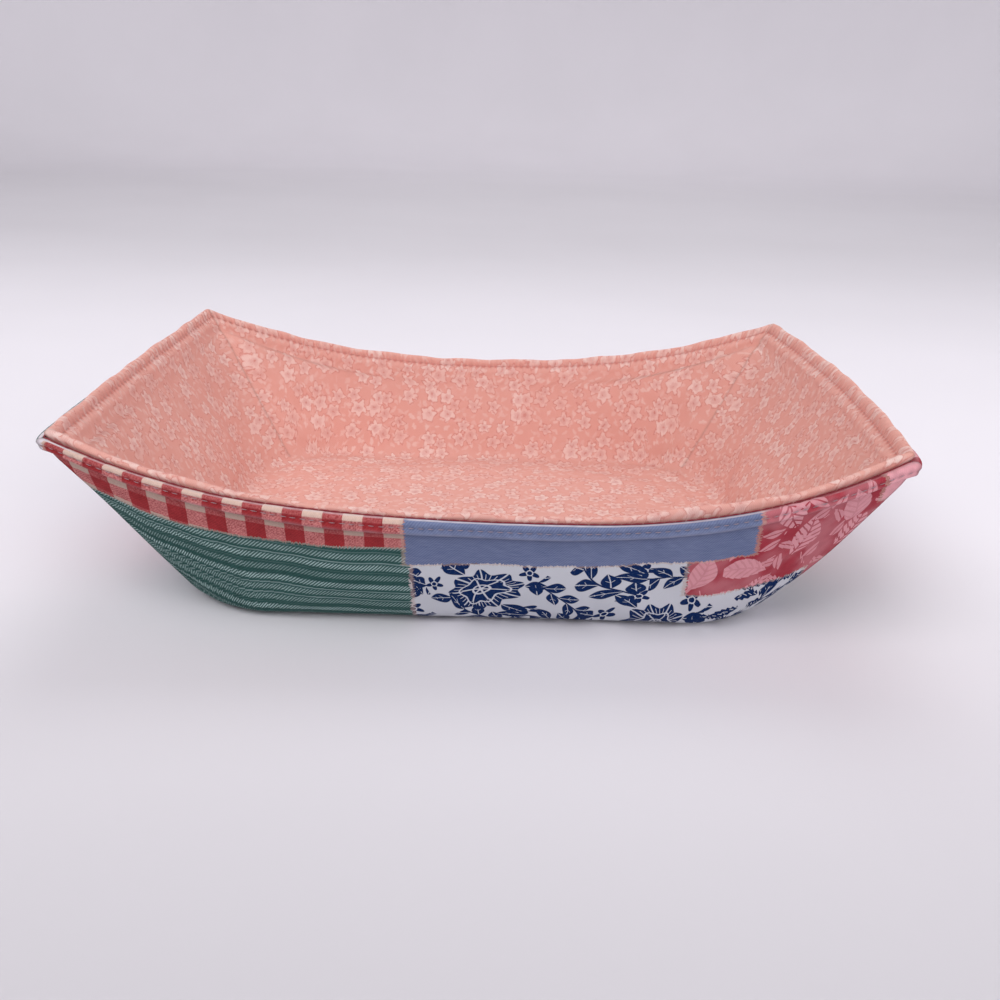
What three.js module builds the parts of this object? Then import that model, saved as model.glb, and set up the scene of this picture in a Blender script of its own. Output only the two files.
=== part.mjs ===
// Rectangular microwave bowl cozy: a darted cotton cover and a darted cotton lining, each backed with
// cotton batting, sewn together round the rim, turned right side out and topstitched.
// Millimetres, +Z up, +X along the long sides. The origin is the middle of the underside.
import * as THREE from 'three';

// Driving dimensions of the outer face
const BASE_LENGTH = 168; // flat floor, between the bends into the two end walls
const BASE_DEPTH = 120; // flat floor, between the bends into the two long walls
const BASE_CORNER_RADIUS = 23;
const BEND_RADIUS = 9; // floor into wall
const TIP_SPAN_LENGTH = 232; // between the pointed rim corners, along a long side
const TIP_SPAN_DEPTH = 157; // between the pointed rim corners, along a short side
const TIP_RADIUS = 3;
const TIP_HEIGHT = 58;
const LONG_RIM_HEIGHT = 40; // lowest point of the rim, in the middle of a long side
const SHORT_RIM_HEIGHT = 57; // lowest point of the rim, in the middle of a short side
const LONG_RIM_BOW = 4; // how far the middle of a long rim stands out past its tips
const SHORT_RIM_BOW = 3.5;
const SAG_POWER = 2.3; // how late the rim climbs to its tips
const RIM_SIDE_SHARE = 0.6; // share of a rim side that stands over the straight edge of the floor

// Cloth, batting and thread
const CLOTH = 0.5;
const BATTING = 1.2;
const BATTING_AT_RIM = 0.6; // squeezed by the topstitching
const PLY_GAP = 0.3; // between neighbouring plies
const SEAM_ALLOWANCE = 6.35; // cloth turned in at the rim
const SEAM_STEP = 2.5; // height over which the wall thins below the turned-in cloth
const TOPSTITCH_DROP = 1.5; // below the top of the rim
const THREAD_RADIUS = 0.2;
const THREAD_GAP = 0.2; // between a rim thread and the cloth that it lies on
const DART_CLEARANCE = 0.2; // spare room beside a dart's seam, besides the gaps
const LEAST_TIP_RADIUS = 0.8;

// Mesh fineness
const LONG_STEPS = 6;
const SHORT_STEPS = 4;
const CORNER_STEPS = 8; // even, so that a line of points runs up each dart
const TIP_SHARE = 3 / CORNER_STEPS; // share of a corner on either side of the turn round its tip
const BEND_STEPS = 3;
const WALL_STEPS = 3;
const FOLD_STEPS = 4;
const THREAD_SIDES = 6;
const DART_STEPS = 5;

// Depth of each ply's two faces inside the outer face, for plies of these thicknesses.
function stackUp(thicknesses) {
  let depth = 0;
  return thicknesses.map((thickness) => {
    const faces = { outer: depth, inner: depth + thickness };
    depth += thickness + PLY_GAP;
    return faces;
  });
}
const [coverWall, coverBattingWall, liningBattingWall, liningWall] = stackUp([
  CLOTH,
  BATTING,
  BATTING,
  CLOTH,
]);
const [coverRim, coverBattingRim, coverTurned, liningTurned, liningBattingRim, liningRim] = stackUp([
  CLOTH,
  BATTING_AT_RIM,
  CLOTH,
  CLOTH,
  BATTING_AT_RIM,
  CLOTH,
]);
const foldRadius = coverTurned.inner / 2; // of each cloth's turn over the rim

// Extra corner radius of a ply that leaves room for a dart's seam in the corner outside it.
const dartRoom = (2 * THREAD_RADIUS + 2 * PLY_GAP + DART_CLEARANCE) / (Math.SQRT2 - 1);

// Stations round the wall, anticlockwise from the front left corner. A station has a place on the floor's
// outline and one on the rim's: each is a spot on a rectangle (along and across, from -1 to 1) and the way
// that the rounded outline faces there.
const towards = (angle) => new THREE.Vector2(Math.cos(angle), Math.sin(angle));
function sideStations(steps, from, to, angle) {
  const facing = towards(angle);
  return Array.from({ length: steps + 1 }, (_, i) => {
    const rimShare = 0.5 + (i / steps - 0.5) * RIM_SIDE_SHARE;
    return {
      foot: { place: from.clone().lerp(to, i / steps), facing },
      rim: { place: from.clone().lerp(to, rimShare), facing },
    };
  });
}
// Round a corner of the floor the rim runs on along one side, turns the tip and comes back along the next.
function cornerStation(before, corner, after, angle, share) {
  const turned = THREE.MathUtils.clamp((share - TIP_SHARE) / (1 - 2 * TIP_SHARE), 0, 1);
  const toTip = Math.min(share, 1 - share) / TIP_SHARE;
  const sideShare = ((1 - RIM_SIDE_SHARE) / 2) * Math.max(1 - toTip, 0);
  const quarter = Math.PI / 2;
  return {
    foot: { place: corner, facing: towards(angle + share * quarter) },
    rim: {
      place: corner.clone().lerp(share < 0.5 ? before : after, sideShare),
      facing: towards(angle + turned * quarter),
    },
  };
}
const CORNERS = {
  front_left: new THREE.Vector2(-1, -1),
  front_right: new THREE.Vector2(1, -1),
  rear_right: new THREE.Vector2(1, 1),
  rear_left: new THREE.Vector2(-1, 1),
};
const stations = Object.values(CORNERS).flatMap((corner, i, corners) => {
  const next = corners[(i + 1) % corners.length];
  const afterNext = corners[(i + 2) % corners.length];
  const steps = i % 2 === 0 ? LONG_STEPS : SHORT_STEPS;
  const angle = (i - 1) * (Math.PI / 2);
  const turn = Array.from({ length: CORNER_STEPS - 1 }, (_, k) =>
    cornerStation(corner, next, afterNext, angle, (k + 1) / CORNER_STEPS),
  );
  return [...sideStations(steps, corner, next, angle), ...turn];
});
function dartStation(corner) {
  const spot = { place: corner, facing: corner.clone().normalize() };
  return { foot: spot, rim: spot };
}

// A rounded rectangle at one spot.
function roundedRectangle({ place, facing }, length, depth, radius) {
  return new THREE.Vector2(
    place.x * (length / 2 - radius) + facing.x * radius,
    place.y * (depth / 2 - radius) + facing.y * radius,
  );
}

// Height of the rim at one spot: it sags from its four tips to the middle of each side.
function rimHeight({ place }) {
  const sag = (share) => 1 - Math.abs(share) ** SAG_POWER;
  return (
    TIP_HEIGHT -
    (TIP_HEIGHT - LONG_RIM_HEIGHT) * sag(place.x) -
    (TIP_HEIGHT - SHORT_RIM_HEIGHT) * sag(place.y)
  );
}

// A face is a surface at one depth inside the outer face, with its own corner radius at the rim. Room is
// what its corners are rounded by beyond those of the outer face.
function faceAt(depth, room = 0) {
  return {
    depth,
    tipRadius: Math.max(TIP_RADIUS - depth, LEAST_TIP_RADIUS) + room,
    baseRadius: BASE_CORNER_RADIUS + room,
  };
}

// The upright profile of a face at one station: the floor's edge, a bend and a straight wall up to the rim.
function profileAt(station, face) {
  const { place, facing } = station.rim;
  const foot = roundedRectangle(station.foot, BASE_LENGTH, BASE_DEPTH, face.baseRadius);
  const bow =
    LONG_RIM_BOW * (1 - place.x ** 2) * Math.abs(facing.y) +
    SHORT_RIM_BOW * (1 - place.y ** 2) * Math.abs(facing.x);
  const rim = roundedRectangle(
    station.rim,
    TIP_SPAN_LENGTH - 2 * face.depth,
    TIP_SPAN_DEPTH - 2 * face.depth,
    face.tipRadius,
  ).addScaledVector(facing, bow);
  const out = rim.clone().sub(foot);
  const run = out.length();
  out.normalize();
  const bend = BEND_RADIUS - face.depth;
  const rise = rimHeight(station.rim) - face.depth;
  const toRim = Math.atan2(rise - bend, run);
  const reach = Math.hypot(run, rise - bend);
  const turn = toRim - Math.acos(bend / reach) + Math.PI / 2;
  const at = (along, up) =>
    new THREE.Vector3(foot.x + out.x * along, foot.y + out.y * along, face.depth + up);
  return { at, bend, turn, run, rise };
}
function bendPoint(station, face, share) {
  const { at, bend, turn } = profileAt(station, face);
  const angle = turn * share;
  return at(bend * Math.sin(angle), bend * (1 - Math.cos(angle)));
}
function wallPoint(station, face, drop) {
  const { at, run, rise } = profileAt(station, face);
  const top = at(run, rise);
  const down = bendPoint(station, face, 1).sub(top).normalize();
  return top.addScaledVector(down, drop);
}

// Closed rings of points round the wall
const ringOf = (pointAt) => stations.map(pointAt);
const wallRing = (face, drop) => ringOf((station) => wallPoint(station, face, drop));
const floorCentre = (face) => stations.map(() => new THREE.Vector3(0, 0, face.depth));

// Rings of one face from the middle of the floor to where the wall begins to thicken for the rim.
const SEAM_END = SEAM_ALLOWANCE + PLY_GAP;
const THIN_DROP = SEAM_END + SEAM_STEP;
function lowerRings(face) {
  const rings = [floorCentre(face)];
  for (let i = 0; i <= BEND_STEPS; i++) {
    rings.push(ringOf((station) => bendPoint(station, face, i / BEND_STEPS)));
  }
  for (let i = 1; i <= WALL_STEPS; i++) {
    rings.push(
      ringOf((station) =>
        bendPoint(station, face, 1).lerp(wallPoint(station, face, THIN_DROP), i / WALL_STEPS),
      ),
    );
  }
  return rings;
}

// Rings of a fold over the rim, from one ply to another that is turned in beside it.
function foldRings(fromDepth, toDepth, ringCount, topDrop) {
  const middle = (fromDepth + toDepth) / 2;
  const radius = Math.abs(toDepth - fromDepth) / 2;
  const rings = [];
  for (let i = 0; i <= ringCount; i++) {
    const angle = (i / ringCount) * Math.PI;
    const depth = middle + (fromDepth - middle) * Math.cos(angle);
    rings.push(wallRing(faceAt(depth), topDrop + radius * (1 - Math.sin(angle))));
  }
  return rings;
}

// Skins rings into one closed solid, each patch split along its shorter diagonal, so that the faces of
// neighbouring plies are split alike. The first and last rings are single points, or the same ring.
function skin(rings) {
  const count = rings[0].length;
  const points = rings.flat();
  const index = [];
  const addTriangle = (...corners) => {
    const [a, b, c] = corners.map((corner) => points[corner]);
    if (a.distanceTo(b) > 0 && b.distanceTo(c) > 0 && c.distanceTo(a) > 0) index.push(...corners);
  };
  for (let r = 0; r + 1 < rings.length; r++) {
    for (let i = 0; i < count; i++) {
      const next = (i + 1) % count;
      const [a, b, c, d] = [r * count + i, r * count + next, (r + 1) * count + next, (r + 1) * count + i];
      if (points[a].distanceTo(points[c]) < points[b].distanceTo(points[d])) {
        addTriangle(a, b, c);
        addTriangle(a, c, d);
      } else {
        addTriangle(a, b, d);
        addTriangle(b, c, d);
      }
    }
  }
  return new THREE.BufferGeometry().setFromPoints(points).setIndex(index);
}

// The cover: outer face, fold over the rim, seam allowance turned in, and back down its inner face.
function coverGeometry() {
  return skin([
    ...lowerRings(faceAt(coverWall.outer)),
    wallRing(faceAt(coverRim.outer), SEAM_END),
    ...foldRings(coverRim.outer, coverTurned.inner, FOLD_STEPS, 0),
    wallRing(faceAt(coverTurned.inner), SEAM_ALLOWANCE),
    wallRing(faceAt(coverTurned.outer), SEAM_ALLOWANCE),
    ...foldRings(coverTurned.outer, coverRim.inner, FOLD_STEPS, CLOTH),
    wallRing(faceAt(coverRim.inner), SEAM_END),
    ...lowerRings(faceAt(coverWall.inner)).reverse(),
  ]);
}

// The lining: the cover's mirror image across the seam, with its turned-in cloth on its outer side.
function liningGeometry() {
  return skin([
    ...lowerRings(faceAt(liningWall.outer, 2 * dartRoom)),
    wallRing(faceAt(liningRim.outer), SEAM_END),
    ...foldRings(liningRim.outer, liningTurned.inner, FOLD_STEPS, CLOTH),
    wallRing(faceAt(liningTurned.inner), SEAM_ALLOWANCE),
    wallRing(faceAt(liningTurned.outer), SEAM_ALLOWANCE),
    ...foldRings(liningTurned.outer, liningRim.inner, FOLD_STEPS, 0),
    wallRing(faceAt(liningRim.inner), SEAM_END),
    ...lowerRings(faceAt(liningWall.inner, 2 * dartRoom)).reverse(),
  ]);
}

// A batting: it stops just under the fold of the cloth that wraps its upper edge.
function battingGeometry(wall, rim) {
  const topDrop = foldRadius + PLY_GAP;
  return skin([
    ...lowerRings(faceAt(wall.outer, dartRoom)),
    wallRing(faceAt(rim.outer), SEAM_END),
    wallRing(faceAt(rim.outer), topDrop),
    wallRing(faceAt(rim.inner), topDrop),
    wallRing(faceAt(rim.inner), SEAM_END),
    ...lowerRings(faceAt(wall.inner, dartRoom)).reverse(),
  ]);
}

// A thread that runs right round the wall at one depth and drop.
function rimThreadGeometry(depth, drop) {
  const rings = [];
  for (let i = 0; i <= THREAD_SIDES; i++) {
    const angle = (i / THREAD_SIDES) * 2 * Math.PI;
    const face = faceAt(depth + THREAD_RADIUS * Math.cos(angle));
    rings.push(wallRing(face, drop + THREAD_RADIUS * Math.sin(angle)));
  }
  return skin(rings);
}

// The line of stitches that closes one corner dart, from the bend up to the turned-in cloth.
function dartThreadGeometry(corner, face) {
  const station = dartStation(corner);
  const path = new THREE.LineCurve3(bendPoint(station, face, 1), wallPoint(station, face, THIN_DROP));
  const section = new THREE.Shape();
  section.absarc(0, 0, THREAD_RADIUS, 0, 2 * Math.PI);
  return new THREE.ExtrudeGeometry(section, {
    extrudePath: path,
    steps: DART_STEPS,
    curveSegments: THREAD_SIDES,
  });
}

// Materials
const cloth = (color) => new THREE.MeshStandardMaterial({ color, roughness: 0.9, metalness: 0 });
const patchworkCotton = cloth('#8a8496');
const calico = cloth('#e4ab9f');
const battingCotton = cloth('#efe9dc');
const sewingThread = cloth('#f1e6df');
const seamThread = cloth('#8c3a40');

const cozy = new THREE.Group();
function add(name, geometry, material) {
  const mesh = new THREE.Mesh(geometry, material);
  mesh.name = name;
  cozy.add(mesh);
}

add('patchwork_cover', coverGeometry(), patchworkCotton);
add('cover_batting', battingGeometry(coverBattingWall, coverBattingRim), battingCotton);
add('lining_batting', battingGeometry(liningBattingWall, liningBattingRim), battingCotton);
add('calico_lining', liningGeometry(), calico);

// Rim threads: the seam lies in the groove between the two folds, and the topstitching on both faces.
const grooveHalf = foldRadius + PLY_GAP / 2;
const seamRise = Math.sqrt((foldRadius + THREAD_GAP + THREAD_RADIUS) ** 2 - grooveHalf ** 2);
const seamDepth = coverTurned.inner + PLY_GAP / 2;
add('rim_seam_thread', rimThreadGeometry(seamDepth, foldRadius - seamRise), seamThread);
add(
  'topstitch_needle_thread',
  rimThreadGeometry(coverRim.outer - THREAD_GAP - THREAD_RADIUS, TOPSTITCH_DROP),
  sewingThread,
);
add(
  'topstitch_bobbin_thread',
  rimThreadGeometry(liningRim.inner + THREAD_GAP + THREAD_RADIUS, TOPSTITCH_DROP),
  sewingThread,
);

// Dart threads: each cloth is darted at its four corners, with the seam on its wrong side.
const dartOffset = (PLY_GAP + THREAD_RADIUS) * Math.SQRT1_2;
for (const [place, corner] of Object.entries(CORNERS)) {
  const coverDart = { ...faceAt(coverWall.inner), depth: coverWall.inner + dartOffset };
  const liningDart = { ...faceAt(liningWall.outer, 2 * dartRoom), depth: liningWall.outer - dartOffset };
  add(`cover_dart_thread_${place}`, dartThreadGeometry(corner, coverDart), sewingThread);
  add(`lining_dart_thread_${place}`, dartThreadGeometry(corner, liningDart), sewingThread);
}

export default cozy;
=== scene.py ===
"""A rectangular microwave bowl cozy: printed cotton cover, coral calico lining, batting and stitching.

The cloths are surfaces worked out with numpy on one grid: a floor, four walls with a dart up each corner,
and a hem that turns in over the rim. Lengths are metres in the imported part's frame; the print is drawn in
millimetres on the flat cloth.
"""
from typing import NamedTuple

import bpy
import numpy as np
from mathutils import Matrix, Vector


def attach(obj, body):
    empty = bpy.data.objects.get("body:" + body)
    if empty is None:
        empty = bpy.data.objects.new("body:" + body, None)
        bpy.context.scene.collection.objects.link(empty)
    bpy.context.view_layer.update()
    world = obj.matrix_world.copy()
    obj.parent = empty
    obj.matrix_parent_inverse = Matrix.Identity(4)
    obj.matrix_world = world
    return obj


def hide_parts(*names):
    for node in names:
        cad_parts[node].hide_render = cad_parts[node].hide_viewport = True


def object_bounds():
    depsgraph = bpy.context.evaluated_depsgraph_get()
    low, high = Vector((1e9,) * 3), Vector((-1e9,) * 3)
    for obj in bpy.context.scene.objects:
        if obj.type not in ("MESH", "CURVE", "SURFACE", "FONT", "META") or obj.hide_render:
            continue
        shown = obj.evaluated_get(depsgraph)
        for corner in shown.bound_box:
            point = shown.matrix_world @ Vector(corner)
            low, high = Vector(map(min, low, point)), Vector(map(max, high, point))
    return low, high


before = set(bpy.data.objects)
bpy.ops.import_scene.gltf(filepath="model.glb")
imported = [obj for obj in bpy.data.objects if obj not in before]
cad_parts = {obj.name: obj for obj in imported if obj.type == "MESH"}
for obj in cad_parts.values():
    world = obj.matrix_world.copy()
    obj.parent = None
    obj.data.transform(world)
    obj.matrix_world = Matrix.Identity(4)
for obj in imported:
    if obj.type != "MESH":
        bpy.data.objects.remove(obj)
CAD_LOW, CAD_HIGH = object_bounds()
BODY = "root"

bl_info = {
    "name": "Bowl cozy",
    "version": (1, 0, 0),
    "blender": (4, 5, 0),
    "location": "View3D > Sidebar > Cozy",
    "description": "Sews a quilted cotton bowl cozy with a printed patchwork cover and a calico lining",
    "category": "Add Mesh",
}

MM = 0.001
TURN = 2 * np.pi
CORNER_NAMES = ("front_left", "front_right", "rear_right", "rear_left")

# Grid of the cloths, whose sides are numbered anticlockwise from the front
FRONT = 0
LONG_COLUMNS = 72
SHORT_COLUMNS = 48
SIDE_COLUMNS = (LONG_COLUMNS, SHORT_COLUMNS, LONG_COLUMNS, SHORT_COLUMNS)
SIDES = np.arange(len(SIDE_COLUMNS))
COLUMNS = sum(SIDE_COLUMNS)
WALL_ROWS = 15
FOLD_ROWS = 6
FLOOR_SHAPE = (SHORT_COLUMNS + 1, LONG_COLUMNS + 1)
FLOOR_POINTS = FLOOR_SHAPE[0] * FLOOR_SHAPE[1]
DARTS = np.concatenate([[0], np.cumsum(SIDE_COLUMNS)[:-1]])

# Rows of the hem, as drops below the rim in millimetres: down the visible face and down the turned-in edge
HEM_DROPS = (7.9, 6.6, 5.4, 4.5, 3.8, 3.1, 2.3, 1.5)
TURNED_DROPS = (2.6, 4.4, 6.35)
STITCH_ROW = WALL_ROWS + len(HEM_DROPS) - 1
SEAM_ROW = WALL_ROWS + len(HEM_DROPS) + FOLD_ROWS - 1

# Share of a round fold's height that is left on its seam side, where cover and lining are drawn together
SEAM_SIDE_HEIGHT = 0.35

# Places down the cloth from the top of the fold, in millimetres, and one that is far from hem and darts
TOPSTITCH_WAY = 2.1
HEM_EDGE_WAY = 4.8
RIDGE_WAY = 4.3
FAR = 100.0

# Where foot and rim start to turn, as shares of the way from a side's middle to its dart
FOOT_TURNS = 0.588
RIM_TURNS = 0.98
FOOT_ANGLE_AT_TIP = np.radians(33.75)
DART_ANGLE = np.radians(45.0)
SHARPEST_TIP = 0.8 * MM

# Powers by which the rim climbs to its tips
CLIMB = 2.35
FRONT_CLIMB = 2.9

# Chords that a side's rim is measured with, and points up a dart
RIM_CHORDS = 800
DART_POINTS = 40

# How crisp a dart stays under the subdivision
DART_CREASE = 0.7


def srgb(red, green, blue):
    """A colour given in 0 to 255 as the eye sees it, turned into the linear values that Blender keeps."""
    share = np.array([red, green, blue]) / 255.0
    linear = np.where(share <= 0.04045, share / 12.92, ((share + 0.055) / 1.055) ** 2.4)
    return tuple(float(value) for value in linear)


def length_property(name, description, default):
    return bpy.props.FloatProperty(
        name=name, description=description, default=default, min=0.0, unit="LENGTH", precision=4)


def colour_property(name, description, default):
    return bpy.props.FloatVectorProperty(
        name=name, description=description, default=default, subtype="COLOR", size=3, min=0.0, max=1.0)


class CozySizes(bpy.types.PropertyGroup):
    """Sizes of the sewn cozy, on its outer face."""

    floor_length: length_property("Floor length", "Flat floor between the bends into the end walls", 0.168)
    floor_depth: length_property("Floor depth", "Flat floor between the bends into the long walls", 0.120)
    floor_corner: length_property("Floor corner", "Radius of the floor's corners", 0.023)
    bend: length_property("Bend", "Radius of the bend from floor to wall", 0.009)
    tip_length: length_property("Length at tips", "Between the rim's tips, along a long side", 0.232)
    tip_depth: length_property("Depth at tips", "Between the rim's tips, along a short side", 0.157)
    tip_radius: length_property("Tip radius", "Rounding of the pointed corners", 0.003)
    tip_height: length_property("Tip height", "Height of the pointed corners", CAD_HIGH.z)
    long_height: length_property("Long rim height", "Height of the rim midway along a long side", 0.040)
    short_height: length_property("Short rim height", "Height of the rim midway along a short side", 0.057)
    front_sag: length_property("Front sag", "How much lower the middle of the front rim hangs", 0.001)
    front_lean: length_property("Front lean", "How much lower the right half of the front rim hangs", 0.002)
    long_bow: length_property("Long rim bow", "How far the middle of a long rim stands out", 0.004)
    right_bow: length_property("Right rim bow", "How far the middle of the right rim stands out", 0.0055)
    left_bow: length_property("Left rim bow", "How far the middle of the left rim stands out", 0.0025)
    cloth: length_property("Cloth", "Thickness of the cotton", 0.0005)
    batting: length_property("Batting", "Thickness of each batting in the wall", 0.0012)
    batting_at_rim: length_property("Batting at rim", "Thickness of each batting under the stitching", 0.0006)
    ply_gap: length_property("Ply gap", "Air between neighbouring plies", 0.0003)
    seam_allowance: length_property("Seam allowance", "Cloth turned in at the rim", 0.00635)
    stitch: length_property("Stitch", "Length of one stitch and the gap after it", 0.0026)
    thread: length_property("Thread", "Radius of the sewing thread", 0.0002)


class CozyColours(bpy.types.PropertyGroup):
    """Colours of the printed cottons, the batting and the threads."""

    gingham_red: colour_property("Gingham red", "Dark checks", srgb(160, 52, 56))
    gingham_pink: colour_property("Gingham pink", "Pale threads of the mottled checks", srgb(222, 150, 147))
    gingham_cream: colour_property("Gingham cream", "Light checks", srgb(198, 170, 157))
    ticking_green: colour_property("Ticking green", "Ground of the striped cotton", srgb(50, 86, 82))
    ticking_mint: colour_property("Ticking mint", "Stripes of the striped cotton", srgb(192, 220, 217))
    chambray_blue: colour_property("Chambray blue", "Plain blue cotton", srgb(100, 112, 148))
    chambray_pale: colour_property("Chambray pale", "Pale threads of the blue cotton", srgb(138, 148, 180))
    sprig_white: colour_property("Sprig white", "Ground of the blue sprigs", srgb(210, 212, 219))
    sprig_cobalt: colour_property("Sprig cobalt", "Ink of the blue sprigs", srgb(3, 38, 88))
    rose_red: colour_property("Rose red", "Ground of the leaf print", srgb(168, 60, 72))
    rose_pale: colour_property("Rose pale", "Leaves of the leaf print", srgb(228, 163, 171))
    calico_coral: colour_property("Calico coral", "Ground of the lining", srgb(236, 174, 161))
    calico_pale: colour_property("Calico pale", "Petals on the lining", srgb(248, 216, 207))
    # Calico deep colours the print's fine lines and also the painted shade in the lining's stitched groove.
    calico_deep: colour_property("Calico deep", "Fine lines on the lining", srgb(212, 126, 116))
    batting_white: colour_property("Batting white", "Cotton batting", srgb(238, 232, 220))
    # Worn fold is partly worn cloth and partly a painted highlight along the fold at the rim; it also colours
    # the painted highlight on the hem's ridge and the pale patch at the left tip.
    fold_pale: colour_property("Worn fold", "Rubbed edge of the cover along the rim", srgb(232, 222, 228))
    thread_pale: colour_property("Thread", "Topstitching of the cover and dart seams", srgb(182, 158, 166))
    thread_coral: colour_property("Coral thread", "Topstitching of the lining", srgb(214, 146, 134))
    thread_red: colour_property("Seam thread", "Seam between cover and lining", srgb(176, 52, 64))


class StageLook(bpy.types.PropertyGroup):
    """Floor, backdrop and camera."""

    floor: colour_property("Floor", "Pale sweep under and behind the cozy", srgb(232, 229, 234))
    camera_place: bpy.props.FloatVectorProperty(
        name="Camera", description="Where the camera stands", default=(0.006, -0.322, 0.146), subtype="XYZ",
        unit="LENGTH", size=3)
    camera_pitch: bpy.props.FloatProperty(
        name="Pitch", description="How far the camera looks down", default=float(np.radians(22.6)),
        unit="ROTATION")
    camera_roll: bpy.props.FloatProperty(
        name="Roll", description="How far the camera leans", default=float(np.radians(1.6)), unit="ROTATION")
    lens: bpy.props.FloatProperty(
        name="Lens", description="Focal length on a 36 mm sensor", default=36.0, unit="CAMERA")


class Plies:
    """Depths of the plies' faces inside the outer face, in the wall and at the rim, outside first."""

    def __init__(self, sizes):
        cloth = sizes.cloth
        gap = sizes.ply_gap
        thin = sizes.batting_at_rim
        wall = self.stack((cloth, sizes.batting, sizes.batting, cloth), gap)
        rim = self.stack((cloth, thin, cloth, cloth, thin, cloth), gap)
        self.cover_wall, self.cover_batting_wall, self.lining_batting_wall, self.lining_wall = wall
        self.cover_rim, self.cover_batting_rim, self.cover_turned = rim[:3]
        self.lining_turned, self.lining_batting_rim, self.lining_rim = rim[3:]
        self.fold = self.cover_turned[1] / 2
        spare = 0.2 * MM
        below_seam = 2.5 * MM
        self.dart_room = (2 * sizes.thread + 2 * gap + spare) / (np.sqrt(2.0) - 1)
        self.seam_end = sizes.seam_allowance + gap
        self.thin_drop = self.seam_end + below_seam

    @staticmethod
    def stack(thicknesses, gap):
        inner = np.cumsum(np.array(thicknesses) + gap) - gap
        return [(float(face - thick), float(face)) for face, thick in zip(inner, thicknesses)]


def round_the_wall():
    """Side and share of every column, anticlockwise from the front left dart, and the share at its end."""
    counts = np.repeat(SIDE_COLUMNS, SIDE_COLUMNS)
    side = np.repeat(SIDES, SIDE_COLUMNS)
    share = np.concatenate([np.linspace(-1, 1, count, endpoint=False) for count in SIDE_COLUMNS])
    return side, share, share + 2 / counts


def to_plan(side, along, out):
    """Distances along a side and out from the cozy's middle, turned into plan x and y for that side."""
    x = np.choose(side, [along, out, -along, -out])
    y = np.choose(side, [-out, along, out, -along])
    return x, y


def wall_outline(sizes, side, share, depth, room):
    """Foot and rim of the wall, along the side and out from the middle, and the height of the rim.

    Foot and rim are rounded rectangles: a straight run, then an arc that turns 45 degrees up to the dart.
    The rim bows out by a parabola and climbs to its tips by a power of the share; the front one sags more,
    most on its right.
    """
    long_side = side % 2 == 0
    half_foot = np.where(long_side, sizes.floor_length, sizes.floor_depth) / 2
    half_foot_out = np.where(long_side, sizes.floor_depth, sizes.floor_length) / 2
    half_rim = np.where(long_side, sizes.tip_length, sizes.tip_depth) / 2 - depth
    half_rim_out = np.where(long_side, sizes.tip_depth, sizes.tip_length) / 2 - depth
    bow = np.choose(side, [sizes.long_bow, sizes.right_bow, sizes.long_bow, sizes.left_bow])
    in_front = side == FRONT
    sag = np.where(in_front, sizes.front_sag, 0.0)
    lowest = np.where(long_side, sizes.long_height, sizes.short_height) - sag
    climb = np.where(in_front, FRONT_CLIMB, CLIMB)
    way = np.abs(share)
    hand = np.sign(share)
    foot_run = np.clip(way / FOOT_TURNS, 0, 1)
    foot_angle = np.interp(way, [FOOT_TURNS, RIM_TURNS, 1], [0, FOOT_ANGLE_AT_TIP, DART_ANGLE])
    rim_run = np.clip(way / RIM_TURNS, 0, 1)
    rim_angle = np.interp(way, [RIM_TURNS, 1], [0, DART_ANGLE])
    foot_radius = sizes.floor_corner + room
    rim_radius = np.maximum(sizes.tip_radius - depth, SHARPEST_TIP) + room
    foot_along = hand * (foot_run * (half_foot - foot_radius) + foot_radius * np.sin(foot_angle))
    foot_out = half_foot_out - foot_radius * (1 - np.cos(foot_angle))
    rim_along = hand * (rim_run * (half_rim - rim_radius) + rim_radius * np.sin(rim_angle))
    rim_out = half_rim_out - rim_radius * (1 - np.cos(rim_angle)) + bow * (1 - rim_run ** 2)
    lean = np.where(in_front, sizes.front_lean, 0.0) * hand * rim_run * (1 - rim_run ** 2)
    height = sizes.tip_height - (sizes.tip_height - lowest) * (1 - rim_run ** climb) - lean
    return foot_along, foot_out, rim_along, rim_out, height


def wall_profile(sizes, side, share, depth, room):
    """Upright profile of a face: floor edge, a bend that turns floor into wall, and a straight wall.

    Returns the foot, the way out from it, the bend's radius and turn, and the length of the straight.
    """
    foot_along, foot_out, rim_along, rim_out, height = wall_outline(sizes, side, share, depth, room)
    run_along = rim_along - foot_along
    run_out = rim_out - foot_out
    run = np.hypot(run_along, run_out)
    bend = sizes.bend - depth
    rise = height - depth - bend
    reach = np.hypot(run, rise)
    turn = np.arctan2(rise, run) - np.arccos(bend / reach) + np.pi / 2
    straight = np.sqrt(reach ** 2 - bend ** 2)
    return (foot_along, foot_out), (run_along / run, run_out / run), bend, turn, straight


def wall_points(sizes, side, share, depth, drop, room=0.0):
    """Points of a face: a drop below the rim, measured down the straight wall and then round the bend."""
    foot, way, bend, turn, straight = wall_profile(sizes, side, share, depth, room)
    above_bend = np.maximum(straight - drop, 0)
    angle = np.clip(turn - np.maximum(drop - straight, 0) / bend, 0, None)
    forward = bend * np.sin(angle) + above_bend * np.cos(turn)
    up = bend * (1 - np.cos(angle)) + above_bend * np.sin(turn)
    x, y = to_plan(side, foot[0] + way[0] * forward, foot[1] + way[1] * forward)
    return np.stack(np.broadcast_arrays(x, y, depth + up), axis=-1)


def wall_length(sizes, side, share, depth, room=0.0):
    """Length of a face's profile from the floor's edge to the rim."""
    _, _, bend, turn, straight = wall_profile(sizes, side, share, depth, room)
    return bend * turn + straight


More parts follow.
